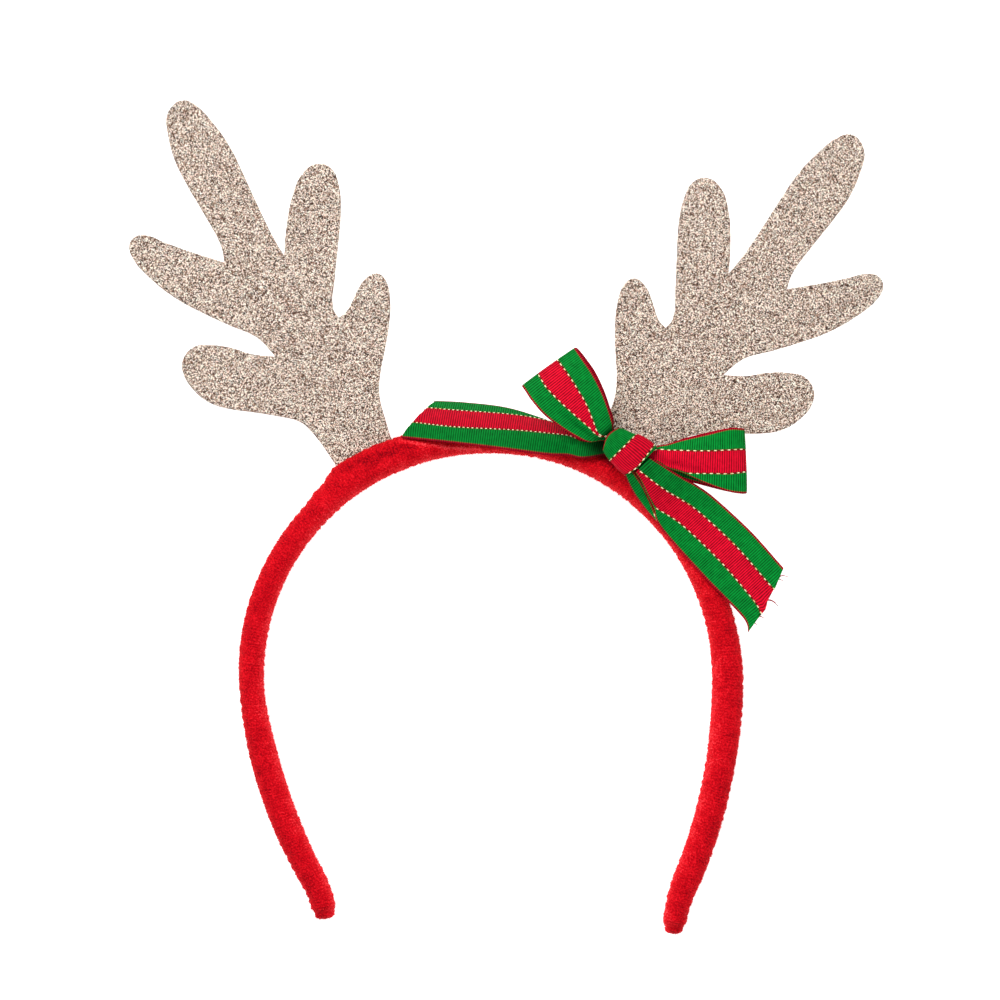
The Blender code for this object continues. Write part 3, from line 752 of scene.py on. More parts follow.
# %% The flakes
def flake_nodes():
    """Low three-sided cones, tilted at random, with fewer of them on the back."""
    tree, given = start_nodes("glitter_flakes", "Density", "Flake Size", "Tilt", "Seed")
    seed = given["Seed"]
    up = tree.add("ShaderNodeSeparateXYZ", {}, {0: tree.add("GeometryNodeInputNormal")}, output="Z")
    density = given["Density"] * (up.above(-0.5) * 0.45 + 0.55)
    sockets = {"Mesh": given["Geometry"], "Density": density, "Seed": seed}
    planted = tree.add("GeometryNodeDistributePointsOnFaces", {}, sockets)
    size = given["Flake Size"]
    cone = {"Vertices": 3, "Radius Bottom": size * 0.62, "Depth": size * 0.2}
    flake = tree.add("GeometryNodeMeshCone", {"fill_type": "NONE"}, cone)
    spin = random_vector(tree, (0, 0, 0), (0, 0, 6.3), seed + 1)
    tilt = scale_vector(tree, random_vector(tree, (-1, -1, 0), (1, 1, 0), seed + 2), given["Tilt"])
    turned = turn_further(tree, turn_further(tree, planted.other("Rotation"), spin), tilt)
    flakes = stand_on(tree, planted, flake, turned, random_number(tree, 0.7, 1.25, seed + 3))
    end_nodes(tree, number_copies(tree, flakes, ["tone", "hue", "dull"], seed + 4), given["Material"])
    return tree


ANTLER_SEEDS = {"left_antler": 10, "right_antler": 30}
FLAKE_VALUES = {
    "Density": 1.08e7, "Flake Size": 0.265 * MM, "Tilt": 0.42,
    "Material": glitter_material("glitter_flakes", True),
}
sheet_glitter = glitter_material("glitter_sheet", False)
flake_tree = flake_nodes()
antlers = {}
for node, seed in ANTLER_SEEDS.items():
    sheet = make_sheet(node, node + "_sheet", sheet_glitter)
    antlers[node] = [sheet, grow(node + "_flakes", sheet, flake_tree, {**FLAKE_VALUES, "Seed": seed})]

# %% [markdown]
# ## The ribbon
# The bow is tied from grosgrain: a ribbon 16 mm wide whose thick weft makes ribs across it, 0.62 mm
# apart. It is green, red and green, with a gold thread stitched along each colour change and a thin red
# selvage. Each piece is described by rows from the knot outwards, as on the real bow: where the two
# edges and the two gold threads lie, how high the ribbon stands and how far it leans over the band.

# %% The ribbon's rows
# The rows' widths are shares of this. It is a little over 16 mm, because the rows were fitted one by one.
RIBBON_WIDTH = 16.5 * MM
RIBBON_THICK = 0.34 * MM
LINE_LOW, LINE_HIGH = 0.335, 0.665
KNOT_LENGTH = 11 * MM
KNOT_WIDTH = 11.3 * MM
KNOT_DEPTH = 7.5 * MM
KNOT_WALL = 1.0 * MM
KNOT_BOXINESS = 3.3
KNOT_TURN = math.radians(-42)
# How far down the right side, how far out in the band's widths, and how far into the padding.
KNOT_SHARE, KNOT_OUT, KNOT_SINK = 0.20, 0.92, 0.6 * MM
# Along the knot, lower and upper half width, depth.
KNOT_ROWS = [
    (-0.56, 0.25, 0.25, 0.84), (-0.42, 0.335, 0.315, 0.93), (-0.30, 0.38, 0.37, 0.98),
    (-0.10, 0.42, 0.42, 1.00), (0.02, 0.435, 0.505, 1.00), (0.22, 0.455, 0.55, 1.00),
    (0.40, 0.44, 0.57, 0.97), (0.56, 0.37, 0.56, 0.88),
]
# Lower and upper half width and depth of the mouths that the ribbon comes out of.
KNOT_MOUTHS = {-1: (0.31, 0.31, 0.90), 1: (0.45, 0.50, 0.90)}
# Along, lower edge, lower gold, upper gold, upper edge, lift, lean in degrees, bulge, pleat.
LEFT_LOOP_ROWS = [
    (0.26, -0.35, -0.18, -0.148, 0.145, 0.68, 0, 0.04, 0.03),
    (0.37, -0.45, -0.203, -0.09, 0.235, 0.74, 0, 0.05, 0.08),
    (0.52, -0.54, -0.245, 0.005, 0.335, 0.79, 0, 0.05, 0.06),
    (0.70, -0.61, -0.285, 0.070, 0.415, 0.80, 0, 0.03, 0.02),
    (0.86, -0.61, -0.30, 0.112, 0.450, 0.74, 0, 0.02, 0.00),
    (0.96, -0.585, -0.27, 0.125, 0.470, 0.62, 0, 0.01, 0.00),
    (1.00, -0.575, -0.25, 0.135, 0.485, 0.43, 0, 0.01, 0.00),
    (0.96, -0.56, -0.20, 0.15, 0.500, 0.25, 0, 0.01, 0.00),
    (0.86, -0.56, -0.20, 0.15, 0.495, 0.16, 0, 0.01, 0.00),
    (0.70, -0.55, -0.20, 0.15, 0.465, 0.13, 0, 0.01, 0.00),
    (0.52, -0.46, -0.16, 0.13, 0.375, 0.17, 0, 0.01, 0.00),
    (0.37, -0.34, -0.12, 0.09, 0.265, 0.27, 0, 0.01, 0.00),
    (0.26, -0.26, -0.09, 0.07, 0.175, 0.38, 0, 0.01, 0.00),
]
RIGHT_LOOP_ROWS = [
    (0.25, -0.14, -0.135, 0.030, 0.06, 0.40, 0, 0.01, 0.00),
    (0.37, -0.24, -0.233, 0.048, 0.14, 0.45, 0, 0.03, 0.03),
    (0.50, -0.30, -0.292, 0.062, 0.24, 0.65, 0, 0.05, 0.05),
    (0.69, -0.44, -0.284, 0.085, 0.36, 0.76, 0, 0.05, 0.02),
    (0.86, -0.54, -0.262, 0.125, 0.47, 0.74, 0, 0.03, 0.00),
    (0.96, -0.56, -0.225, 0.150, 0.485, 0.60, 0, 0.01, 0.00),
    (1.00, -0.55, -0.204, 0.146, 0.485, 0.42, 0, 0.01, 0.00),
    (0.96, -0.555, -0.21, 0.14, 0.485, 0.24, 0, 0.01, 0.00),
    (0.86, -0.54, -0.20, 0.13, 0.47, 0.10, 0, 0.01, 0.00),
    (0.69, -0.48, -0.19, 0.09, 0.38, 0.06, 0, 0.01, 0.00),
    (0.50, -0.40, -0.18, 0.04, 0.26, 0.08, 0, 0.01, 0.00),
    (0.37, -0.29, -0.14, 0.00, 0.15, 0.13, 0, 0.01, 0.00),
    (0.25, -0.16, -0.08, 0.00, 0.07, 0.19, 0, 0.01, 0.00),
]
LEFT_TAIL_ROWS = [
    (0.19, -0.235, 0.030, 0.085, 0.09, 0.10, 12, 0.02, 0.00),
    (0.27, -0.235, 0.058, 0.172, 0.18, 0.00, 35, 0.04, 0.02),
    (0.37, -0.28, 0.032, 0.262, 0.27, 0.00, 46, 0.05, 0.02),
    (0.59, -0.30, -0.032, 0.245, 0.38, 0.00, 48, 0.06, 0.00),
    (0.82, -0.33, -0.112, 0.178, 0.36, 0.00, 48, 0.06, 0.00),
    (1.00, -0.37, -0.13, 0.150, 0.31, 0.00, 48, 0.05, 0.00),
]
RIGHT_TAIL_ROWS = [
    (0.125, -0.12, -0.115, -0.048, 0.235, 0.72, 0, 0.02, 0.00),
    (0.17, -0.15, -0.145, -0.022, 0.28, 0.66, 0, 0.03, 0.00),
    (0.23, -0.215, -0.21, 0.018, 0.335, 0.56, 0, 0.04, 0.00),
    (0.30, -0.285, -0.255, 0.082, 0.41, 0.33, 0, 0.04, 0.00),
    (0.355, -0.385, -0.204, 0.14, 0.475, 0.19, 0, 0.03, 0.00),
    (0.46, -0.425, -0.125, 0.22, 0.55, 0.04, 0, 0.02, 0.00),
    (0.70, -0.43, -0.070, 0.286, 0.62, 0.00, 0, 0.02, 0.00),
    (0.92, -0.405, -0.098, 0.272, 0.615, 0.02, 0, 0.02, 0.00),
    (0.978, -0.51, -0.135, 0.285, 0.612, 0.03, 0, 0.02, 0.00),
]
# The right tail's lower stripe is folded under at the knot and shows there as a narrow wedge.
FLAP_ROWS = [
    (0.070, -0.23, -0.145, -0.138, -0.130, 0.60, 0, 0.01, 0.00),
    (0.12, -0.30, -0.165, -0.158, -0.150, 0.58, 0, 0.03, 0.00),
    (0.19, -0.363, -0.205, -0.198, -0.190, 0.48, 0, 0.03, 0.00),
    (0.275, -0.39, -0.298, -0.292, -0.284, 0.28, 0, 0.02, 0.00),
    (0.345, -0.395, -0.378, -0.375, -0.370, 0.15, 0, 0.00, 0.00),
]

# %% [markdown]
# A ribbon leans on the band where it crosses it. `leaning_height` finds how high its middle must stand
# to touch the band's rounded front at a given lean. The knot lies on the band's front and outer edge.

# %% Where the ribbon lies
def on_arch(x, y):
    """The nearest place on the arch: how far outwards of its line the point lies, and its section."""
    best = min(ARCH, key=lambda sample: (sample[1][0] - x) ** 2 + (sample[1][1] - y) ** 2)
    away = (x - best[1][0]) * best[2][0] + (y - best[1][1]) * best[2][1]
    return away, best[3]


def leaning_height(x, y, lean, bulge):
    offset, (_, outer, depth) = on_arch(x, y)
    power = BAND_BOXINESS / (BAND_BOXINESS - 1)
    sideways = ((outer + RIB_ROOM) * math.sin(lean)) ** power
    up = ((depth / 2 + RIB_ROOM) * math.cos(lean)) ** power
    reach = (sideways + up) ** (1 / power) + CLEARANCE + KNOT_WALL / 2
    return depth / 2 + (reach - (0.5 * bulge + offset) * math.sin(lean)) / math.cos(lean)


def knot_place():
    """The knot's middle."""
    distance = side_length(RIGHT) * KNOT_SHARE
    centre, outwards = arch_at(RIGHT, distance)
    front = band_section(RIGHT, distance)[2] + RIB_ROOM + CLEARANCE - KNOT_SINK
    return centre + outwards * BAND_WIDTH * KNOT_OUT + np.array((0, 0, front + KNOT_DEPTH / 2))


def way(angle):
    return np.array((math.cos(angle), math.sin(angle), 0.0))


KNOT = knot_place()
KNOT_ALONG = way(KNOT_TURN)
KNOT_ACROSS = way(KNOT_TURN + math.pi / 2)
print("knot at", [round(value / MM, 1) for value in KNOT], "mm")

# %% [markdown]
# The rows become a smooth strip. Catmull-Rom curves go through all rows, the strip is cut again into
# equal steps along its length, so that ribs and stitches stay even, and its columns follow the colour
# lines. Each point keeps how far along and across the ribbon it is, for the nodes and the finish.

# %% From rows to a strip
COLUMNS = np.concatenate([
    np.linspace(0, 0.03, 3), np.linspace(0.06, LINE_LOW, 8), np.linspace(LINE_LOW, LINE_HIGH, 9)[1:],
    np.linspace(LINE_HIGH, 0.94, 8)[1:], np.linspace(0.97, 1.0, 3),
])
RIB_PITCH = 0.62 * MM
RIB_STEPS = 5
ROW_STEPS = 30


def root_rows(direction, level, width):
    """A ribbon end's two rows inside the knot, at one of three levels."""
    lower, upper, depth = KNOT_MOUTHS[direction]
    hole = depth * KNOT_DEPTH - 2 * KNOT_WALL
    height = (level - 1) * (KNOT_WALL + (hole - 3 * KNOT_WALL) / 4)
    rows = []
    for share in (0.08, 0.5):
        middle = KNOT + KNOT_ALONG * direction * share * KNOT_LENGTH + np.array((0, 0, height))
        low = middle - KNOT_ACROSS * (lower * KNOT_WIDTH - KNOT_WALL) * width
        high = middle + KNOT_ACROSS * (upper * KNOT_WIDTH - KNOT_WALL) * width
        rows.append([*low, *high, 0.0, 0.0])
    return rows


def free_rows(table, turn, length, slant):
    """Rows outside the knot: two edge points, bulge, pleat, both gold lines' shares and the slant."""
    onwards = way(math.radians(turn))
    sideways = way(math.radians(turn) + math.pi / 2)
    sideways = sideways * math.copysign(1.0, sideways @ KNOT_ACROSS)
    rows = []
    for along, lower, gold_low, gold_high, upper, lift, lean, bulge, pleat in table:
        skew = slant * RIBBON_WIDTH / 2 * along**4
        edges = []
        for side, share in ((-1, lower), (1, upper)):
            point = KNOT + onwards * (along * length + side * skew) + sideways * share * RIBBON_WIDTH
            point[2] = leaning_height(point[0], point[1], math.radians(lean), bulge * RIBBON_WIDTH)
            point[2] += lift * KNOT_DEPTH
            edges += [*point]
        golds = [(gold - lower) / (upper - lower) for gold in (gold_low, gold_high)]
        rows.append([*edges, bulge * RIBBON_WIDTH, pleat * RIBBON_WIDTH, *golds, skew])
    return rows


def smooth_rows(rows):
    """Smooth curves through all rows, cut into equal steps along the middle."""
    rows = np.array(rows)
    last = len(rows) - 1
    shares = np.linspace(0, 1, ROW_STEPS, endpoint=False)[:, None]
    dense = []
    for i in range(last):
        before, first, second, after = rows[max(i - 1, 0)], rows[i], rows[i + 1], rows[min(i + 2, last)]
        cube, square = shares**3, shares**2
        dense.append(
            first * (2 * cube - 3 * square + 1)
            + (second - before) * 0.5 * (cube - 2 * square + shares)
            + second * (3 * square - 2 * cube)
            + (after - first) * 0.5 * (cube - square)
        )
    dense = np.vstack([*dense, rows[-1:]])
    middles = (dense[:, :3] + dense[:, 3:6]) / 2
    lengths = np.concatenate([[0], np.cumsum(np.linalg.norm(np.diff(middles, axis=0), axis=1))])
    count = round(lengths[-1] / (RIB_PITCH / RIB_STEPS))
    even = np.linspace(0, lengths[-1], count + 1)
    return np.stack([np.interp(even, lengths, dense[:, k]) for k in range(dense.shape[1])], axis=1), even


FRAY_REACH = 3 * MM
PLEAT_AT, PLEAT_WIDTH = 0.167, 0.09


def strip_points(rows, distances, ragged=None):
    """A grid of points over the strip's middle, its normals, and along and across at each point."""
    low, high = rows[:, :3], rows[:, 3:6]
    onwards = np.gradient((low + high) / 2, axis=0)
    normals = np.cross(onwards, high - low)
    normals /= np.linalg.norm(normals, axis=1)[:, None]
    normals *= math.copysign(1.0, normals[0, 2])
    grid = []
    along = []
    for i, row in enumerate(rows):
        golds = np.clip(row[8], 0.02, 0.96), np.clip(row[9], 0.04, 0.98)
        share = np.interp(COLUMNS, [0, LINE_LOW, LINE_HIGH, 1], [0, *golds, 1])
        pleat = np.exp(-(((share - PLEAT_AT) / PLEAT_WIDTH) ** 2))
        swell = row[6] * (1 - (2 * share - 1) ** 2) - row[7] * pleat
        points = low[i] + np.outer(share, high[i] - low[i]) + np.outer(swell, normals[i])
        if ragged is not None:
            near_end = np.clip((distances[i] - distances[-1] + FRAY_REACH) / FRAY_REACH, 0, 1)
            forward = onwards[i] / np.linalg.norm(onwards[i])
            points = points + np.outer(np.interp(COLUMNS, *ragged) * near_end, forward)
        grid.append(points)
        along.append(distances[i] + (2 * share - 1) * row[10])
    return np.array(grid), normals, np.array(along)


def thicken(grid, normals, along, per_row):
    """Gives a strip its thickness: an outer side, an inner side and rounded edges, all closed."""
    rows, columns, _ = grid.shape
    half = RIBBON_THICK / 2
    outer = grid + normals[:, None] * half
    inner = grid - normals[:, None] * half
    edges = []
    for edge, before in ((grid[:, -1:], grid[:, -2:-1]), (grid[:, :1], grid[:, 1:2])):
        beyond = edge - before
        edges.append(edge + beyond / np.linalg.norm(beyond, axis=2)[:, :, None] * half)
    ring = np.concatenate([outer, edges[0], inner[:, ::-1], edges[1]], axis=1)
    width = ring.shape[1]
    places = np.concatenate([along, along[:, -1:], along[:, ::-1], along[:, :1]], axis=1)
    across = np.concatenate([COLUMNS, [1.0], COLUMNS[::-1], [0.0]])
    sides = np.concatenate([np.ones(columns), [0.0], -np.ones(columns), [0.0]])
    faces = close_grid(rows, width) + ring_ends(rows * width, width)
    values = {"along": places.ravel(), "across": np.tile(across, rows), "side": np.tile(sides, rows)}
    values.update({title: np.repeat(numbers, width) for title, numbers in per_row.items()})
    return ring.reshape(-1, 3), faces, values


def shift_faces(faces, start):
    """The same faces over points that begin later in the list."""
    return [tuple(corner + start for corner in face) for face in faces]


def join_strips(name, strips):
    """One closed piece from several thickened strips."""
    points, faces, values = strips[0]
    for more_points, more_faces, more_values in strips[1:]:
        faces = faces + shift_faces(more_faces, len(points))
        points = np.vstack([points, more_points])
        values = {title: np.concatenate([values[title], more_values[title]]) for title in values}
    return closed_piece(name, points, faces, **values)


# %% [markdown]
# The ribs are the weft threads, which run across the whole ribbon. A geometry tree lifts the surface by
# a row of rounded arches along the length. It leaves the selvage a little flatter.

# %% Ribs and stitches
def rib_arches(along, pitch, power):
    """0 in the grooves between the ribs and 1 on their tops."""
    return (along / pitch * math.pi).math("SINE").math("ABSOLUTE").math("POWER", power)


def rib_nodes():
    tree, given = start_nodes("ribbon_ribs", "Rib Pitch", "Rib Height")
    arches = rib_arches(named(tree, "along"), given["Rib Pitch"], 0.7)
    selvage = (named(tree, "across") - 0.5).math("ABSOLUTE").smooth(0.49, 0.46)
    return lift_surface(tree, given, arches * given["Rib Height"] * (selvage * 0.8 + 0.2))


def stitch_row(tree, given, line, face):
    """The stitches along one colour line, on the front where face is 1 and on the back where it is -1."""
    on_line = (named(tree, "across") - line).math("ABSOLUTE").math("LESS_THAN", 0.001)
    on_face = (named(tree, "side") * face).above(0.5)
    sewn = named(tree, "sewn").above(1.5 if line == LINE_LOW else 0.5)
    normal = tree.add("GeometryNodeInputNormal")
    settings = {"data_type": "FLOAT_VECTOR", "domain": "POINT"}
    sockets = {"Geometry": given["Geometry"], "Name": "outwards", "Value": normal}
    known = tree.add("GeometryNodeStoreNamedAttribute", settings, sockets)
    sockets = {0: known, 1: on_line * on_face * sewn}
    thread = tree.add("GeometryNodeSeparateGeometry", {"domain": "POINT"}, sockets)
    curve = tree.add("GeometryNodeMeshToCurve", {}, {0: thread})
    sockets = {"Curve": curve, "Length": given["Stitch Pitch"]}
    evenly = tree.add("GeometryNodeResampleCurve", {"mode": "LENGTH"}, sockets)
    sockets = {"Vector": tree.add("GeometryNodeInputTangent")}
    lying = tree.add("FunctionNodeAlignRotationToVector", {"axis": "X"}, sockets)
    sockets = {"Rotation": lying, "Vector": named(tree, "outwards", "FLOAT_VECTOR")}
    lying = tree.add("FunctionNodeAlignRotationToVector", {"axis": "Z", "pivot_axis": "X"}, sockets)
    bead = tree.add("GeometryNodeMeshUVSphere", {}, {"Segments": 6, "Rings": 4, "Radius": 0.5})
    sockets = {0: given["Stitch Length"], 1: given["Stitch Width"], 2: given["Standing"]}
    stitches = stand_on(tree, evenly, bead, lying, tree.add("ShaderNodeCombineXYZ", {}, sockets))
    if face > 0:
        return stitches
    half_step = tree.add("ShaderNodeCombineXYZ", {}, {0: given["Stitch Pitch"] * 0.5})
    sockets = {0: stitches, "Translation": half_step, "Local Space": True}
    return tree.add("GeometryNodeTranslateInstances", {}, sockets)


def stitch_nodes():
    """Gold stitches along both colour lines, by turns on the front and on the back.

    Where the ribbon is folded under, "sewn" is 1 and the lower line has none, or 0 and neither has any.
    """
    tree, given = start_nodes(
        "gold_stitches", "Stitch Pitch", "Stitch Length", "Stitch Width", "Standing"
    )
    rows = [stitch_row(tree, given, line, face) for line in (LINE_LOW, LINE_HIGH) for face in (1, -1)]
    joined = tree.add("GeometryNodeJoinGeometry")
    for stitches in rows:
        tree.made.links.new(stitches.socket, joined.socket.node.inputs[0])
    end_nodes(tree, joined, given["Material"])
    return tree


# %% Ribbon finish
RIBBON_GREEN = linear(4, 134, 48)
RIBBON_RED = linear(220, 12, 44)
SELVAGE_RED = linear(172, 12, 36)
SELVAGE_TAN = linear(112, 92, 44)
THREAD_BROWN = linear(112, 30, 22)


def ribbon_material():
    """Stripes by how far across a point is, painted shade in the grooves between the ribs and from each
    piece's shade numbers, and a red selvage.
    """
    material, tree, shader = start_material("striped_ribbon", Specular_IOR_Level=0.03)
    off_middle = (tree.attribute("across") - 0.5).math("ABSOLUTE")
    off_line = (off_middle - (LINE_HIGH - 0.5)).math("ABSOLUTE")
    past_border = off_middle - (0.484 - tree.attribute("lip") * 0.022)
    colour = tree.mix(off_middle.above(LINE_HIGH - 0.5), RIBBON_RED, RIBBON_GREEN)
    colour = tree.mix(off_line.smooth(0.017, 0.009), colour, THREAD_BROWN)
    colour = tree.mix((past_border + 0.011).above(0.0), colour, SELVAGE_TAN)
    colour = tree.mix(past_border.above(0.0), colour, SELVAGE_RED)
    uneven = tree.noise(700.0)
    rib = rib_arches(tree.attribute("along"), RIB_PITCH, 1.3)
    # Painted shade: dark in the grooves between the ribs, times the piece's painted shade near the knot and
    # on its folds. The noise is the weave's uneven tone.
    shade = (rib * 0.97 + 0.205 + (uneven - 0.5) * 0.6) * tree.attribute("shade")
    painted_shade = tree.add("ShaderNodeCombineColor", {}, {0: shade, 1: shade, 2: shade})
    feed(
        tree,
        shader,
        Base_Color=tree.mix(1.0, colour, painted_shade, "MULTIPLY"),
        Roughness=0.7 - rib * 0.15,
        Normal=tree.bump(0.25, 0.1 * MM, uneven),
    )
    return material


def gold_material():
    material, tree, shader = start_material("gold_thread")
    glint = tree.noise(1500.0)
    # The glint noise paints paler, brighter flecks into the gold as painted glints, and makes them more
    # metallic and glossier.
    colour = tree.mix(glint.smooth(0.3, 0.55), linear(226, 182, 104), linear(255, 240, 194))
    feed(tree, shader, Base_Color=colour, Metallic=glint * 0.3, Roughness=0.5 - glint * 0.2)
    return material


rib_tree = rib_nodes()
stitch_tree = stitch_nodes()
RIB_VALUES = {"Rib Pitch": RIB_PITCH, "Rib Height": 0.07 * MM, "Material": ribbon_material()}
STITCH_VALUES = {"Stitch Width": 0.39 * MM, "Standing": 0.3 * MM, "Material": gold_material()}
LONG_STITCH = {"Stitch Pitch": 1.8 * MM, "Stitch Length": 1.15 * MM}
SHORT_STITCH = {"Stitch Pitch": 1.2 * MM, "Stitch Length": 0.72 * MM}
# Painted shade on each piece by its distance from the knot's middle, in millimetres: the shadow of the knot
# and loops, painted into the ribbon's colour.
PAINTED_SHADE_BY_KNOT = {
    "bow_loop_left": ([0, 6.5, 8.5, 12.5], [0.35, 0.45, 0.85, 1.0]),
    "bow_loop_right": ([0, 6.5, 8.5, 11], [0.4, 0.5, 0.85, 1.0]),
    "bow_tail_left": ([0, 6.5, 9, 12, 16, 30], [0.10, 0.20, 0.5, 0.84, 0.92, 0.96]),
    "bow_tail_right": ([0, 6.5, 12, 17], [0.5, 0.65, 0.85, 1.0]),
}


def dress(name, form, stitch):
    """The ribbed ribbon and its stitches, made from a form that isn't needed afterwards."""
    ribbon = grow(name + "_ribbon", form, rib_tree, RIB_VALUES)
    stitches = grow(name + "_stitches", form, stitch_tree, {**STITCH_VALUES, **stitch})
    bpy.data.objects.remove(form)
    return [ribbon, stitches]


def make_ribbon(name, parts, loop=False, ragged=None, stitch=LONG_STITCH):
    """A finished piece of ribbon from one or more strips: its pieces, its length and its first grid."""
    strips = []
    grids = []
    length = 0.0
    for rows in parts:
        smooth, distances = smooth_rows(rows)
        grid, normals, along = strip_points(smooth, distances, None if strips else ragged)
        middles = grid[:, grid.shape[1] // 2]
        from_knot = np.linalg.norm(middles[:, :2] - KNOT[:2], axis=1)
        # Painted shade: the ribbon is darker near the knot and where its surface tilts away from facing the
        # camera, as round the loops' folds.
        facing = np.clip((np.abs(normals[:, 2]) - 0.6) / 0.36, 0, 1)
        shade = np.interp(from_knot / MM, *PAINTED_SHADE_BY_KNOT[name]) * (0.72 + 0.28 * facing)
        fold = np.argmax(from_knot) if loop else len(middles)
        lip = (np.arange(len(middles)) > fold).astype(float)
        sewn = np.where(smooth[:, 8] > 0.06, 2.0, 1.0) * (smooth[:, 8] < 0.75)
        strips.append(thicken(grid, normals, along, {"shade": shade, "lip": lip, "sewn": sewn}))
        grids.append(grid)
        length += distances[-1]
    pieces = dress(name, join_strips(name + "_form", strips), stitch)
    print(name, round(length / MM, 1), "mm long")
    return {"pieces": pieces, "length": length, "grid": grids[0]}


# %% [markdown]
# ## The bow's four ends
# Each loop goes out of the knot in front, round its fold and back in behind. The tails are single.
# The left tail leans back over the band's outer edge, and its end is cut on a slant. The right tail's
# end is cut too, and has begun to fray.

# %% Loops and tails
def gold_shares(rows, first):
    """Gives the rows in the knot the gold lines of the first free row, and no slant."""
    return [[*row, first[8], first[9], 0.0] for row in rows]


def loop_rows(direction, levels, width, table, turn, length, slant):
    """Rows out of the knot, round the fold and back into the knot."""
    free = free_rows(table, turn, length, slant)
    out = gold_shares(root_rows(direction, levels[0], width), free[0])
    back = gold_shares(root_rows(direction, levels[1], width), free[-1])
    return [row[:10] + [0.0] for row in out + free + back[::-1]]


def tail_rows(root, table, turn, length, slant):
    """Rows from the knot to a cut end."""
    free = free_rows(table, turn, length, slant)
    return gold_shares(root, free[0]) + free


# The left tail goes in askew, under the knot's side. Along and across the knot for its lower edge, then
# for its upper one, and how far below the knot's middle, in millimetres.
LEFT_TAIL_ROOT = [(-0.9, -3.4, -0.9, 1.0, 1.5), (-2.6, -4.0, -5.0, 1.2, 1.7)]


def askew_root(marks):
    """A ribbon end's two rows inside the knot, placed point by point."""
    rows = []
    for low_along, low_across, high_along, high_across, below in marks:
        middle = KNOT - np.array((0, 0, below * MM))
        low = middle + (KNOT_ALONG * low_along + KNOT_ACROSS * low_across) * MM
        high = middle + (KNOT_ALONG * high_along + KNOT_ACROSS * high_across) * MM
        rows.append([*low, *high, 0.0, 0.0])
    return rows


RAGGED_LEFT = (
    [0.0, 0.2, 0.3, 0.5, 0.6, 0.75, 0.9, 1.0],
    [0.0, 0.3 * MM, 0.1 * MM, 0.3 * MM, -0.1 * MM, 0.25 * MM, 0.1 * MM, 0.0],
)
RAGGED_RIGHT = (
    [0.0, 0.06, 0.26, 0.32, 0.37, 0.42, 0.46, 0.50, 0.56, 0.63, 0.70, 0.78, 0.86, 0.93, 1.0],
    [share * MM for share in (0, 0.1, 0.6, 0.4, 0.75, 1.4, 1.0, 0.6, 0.45, 0.3, 0.7, 0.45, 0.35, 0.1, 0)],
)
# Which way each end goes, in degrees, how far from the knot's middle, and how its cut or fold slants.
LEFT_LOOP = (130.9, 30.1 * MM, -0.10)
RIGHT_LOOP = (-4.4, 32.6 * MM, -0.12)
LEFT_TAIL = (171, 56 * MM, -0.46)
RIGHT_TAIL = (-47.6, 57 * MM, -0.415)
FLAP = (*RIGHT_TAIL[:2], 0.0)

left_out = loop_rows(-1, (2, 1), 0.70, LEFT_LOOP_ROWS, *LEFT_LOOP)
right_out = loop_rows(1, (1, 0), 0.35, RIGHT_LOOP_ROWS, *RIGHT_LOOP)
left_down = tail_rows(askew_root(LEFT_TAIL_ROOT), LEFT_TAIL_ROWS, *LEFT_TAIL)
right_down = tail_rows(root_rows(1, 2, 0.60), RIGHT_TAIL_ROWS, *RIGHT_TAIL)
flap = free_rows(FLAP_ROWS, *FLAP)
RIBBONS = {
    "bow_loop_left": {"parts": [left_out], "loop": True},
    "bow_loop_right": {"parts": [right_out], "loop": True},
    "bow_tail_left": {"parts": [left_down], "ragged": RAGGED_LEFT, "stitch": SHORT_STITCH},
    "bow_tail_right": {"parts": [right_down, flap], "ragged": RAGGED_RIGHT},
}
bow = {name: make_ribbon(name, **values) for name, values in RIBBONS.items()}

# %% Loose threads at the cut ends
THREAD_RADIUS = 0.2 * MM
# Tail, how far across its end, and how far the thread reaches to the right and up, in millimetres.
LOOSE_THREADS = [
    ("bow_tail_right", 0.85, 2.5, 0.3), ("bow_tail_right", 0.81, 1.2, -0.2),
    ("bow_tail_right", 0.52, 2.9, -1.0), ("bow_tail_right", 0.50, 2.2, -0.2),
    ("bow_tail_right", 0.24, 1.7, 0.05), ("bow_tail_right", 0.12, 1.0, -0.1),
    ("bow_tail_left", 0.97, -0.6, 0.5), ("bow_tail_left", 0.62, -0.7, 0.1),
    ("bow_tail_left", 0.35, -0.6, -0.3),
]
THREAD_STEPS = 9
THREAD_SIDES = 3
THREAD_SPOKES = (0.5, 2.6, 4.7)


def make_thread(tail, share, right, up):
    """A thin bent tube that tapers to its loose tip."""
    end = bow[tail]["grid"][-1]
    column = int(np.argmin(np.abs(COLUMNS - share)))
    start = end[column] - (end[column] - bow[tail]["grid"][-6][column]) * 0.5
    reach = np.array((right, up, 0.15)) * MM + end[column] - start
    steps = np.linspace(0, 1, THREAD_STEPS)
    sag = np.sin(steps * math.pi * 1.3)[:, None] * np.array((-up, right, 0.4)) * 0.12 * MM
    middles = start + steps[:, None] * reach + sag
    sideways = np.array((-up, right, 0.0)) / math.hypot(right, up)
    points = []
    for middle, step in zip(middles, steps):
        radius = THREAD_RADIUS * (1 - 0.5 * step)
        for angle in THREAD_SPOKES:
            spoke = sideways * math.cos(angle) + np.array((0, 0, math.sin(angle)))
            points.append(middle + spoke * radius)
    return points, close_grid(len(steps), THREAD_SIDES) + ring_ends(len(points), THREAD_SIDES)


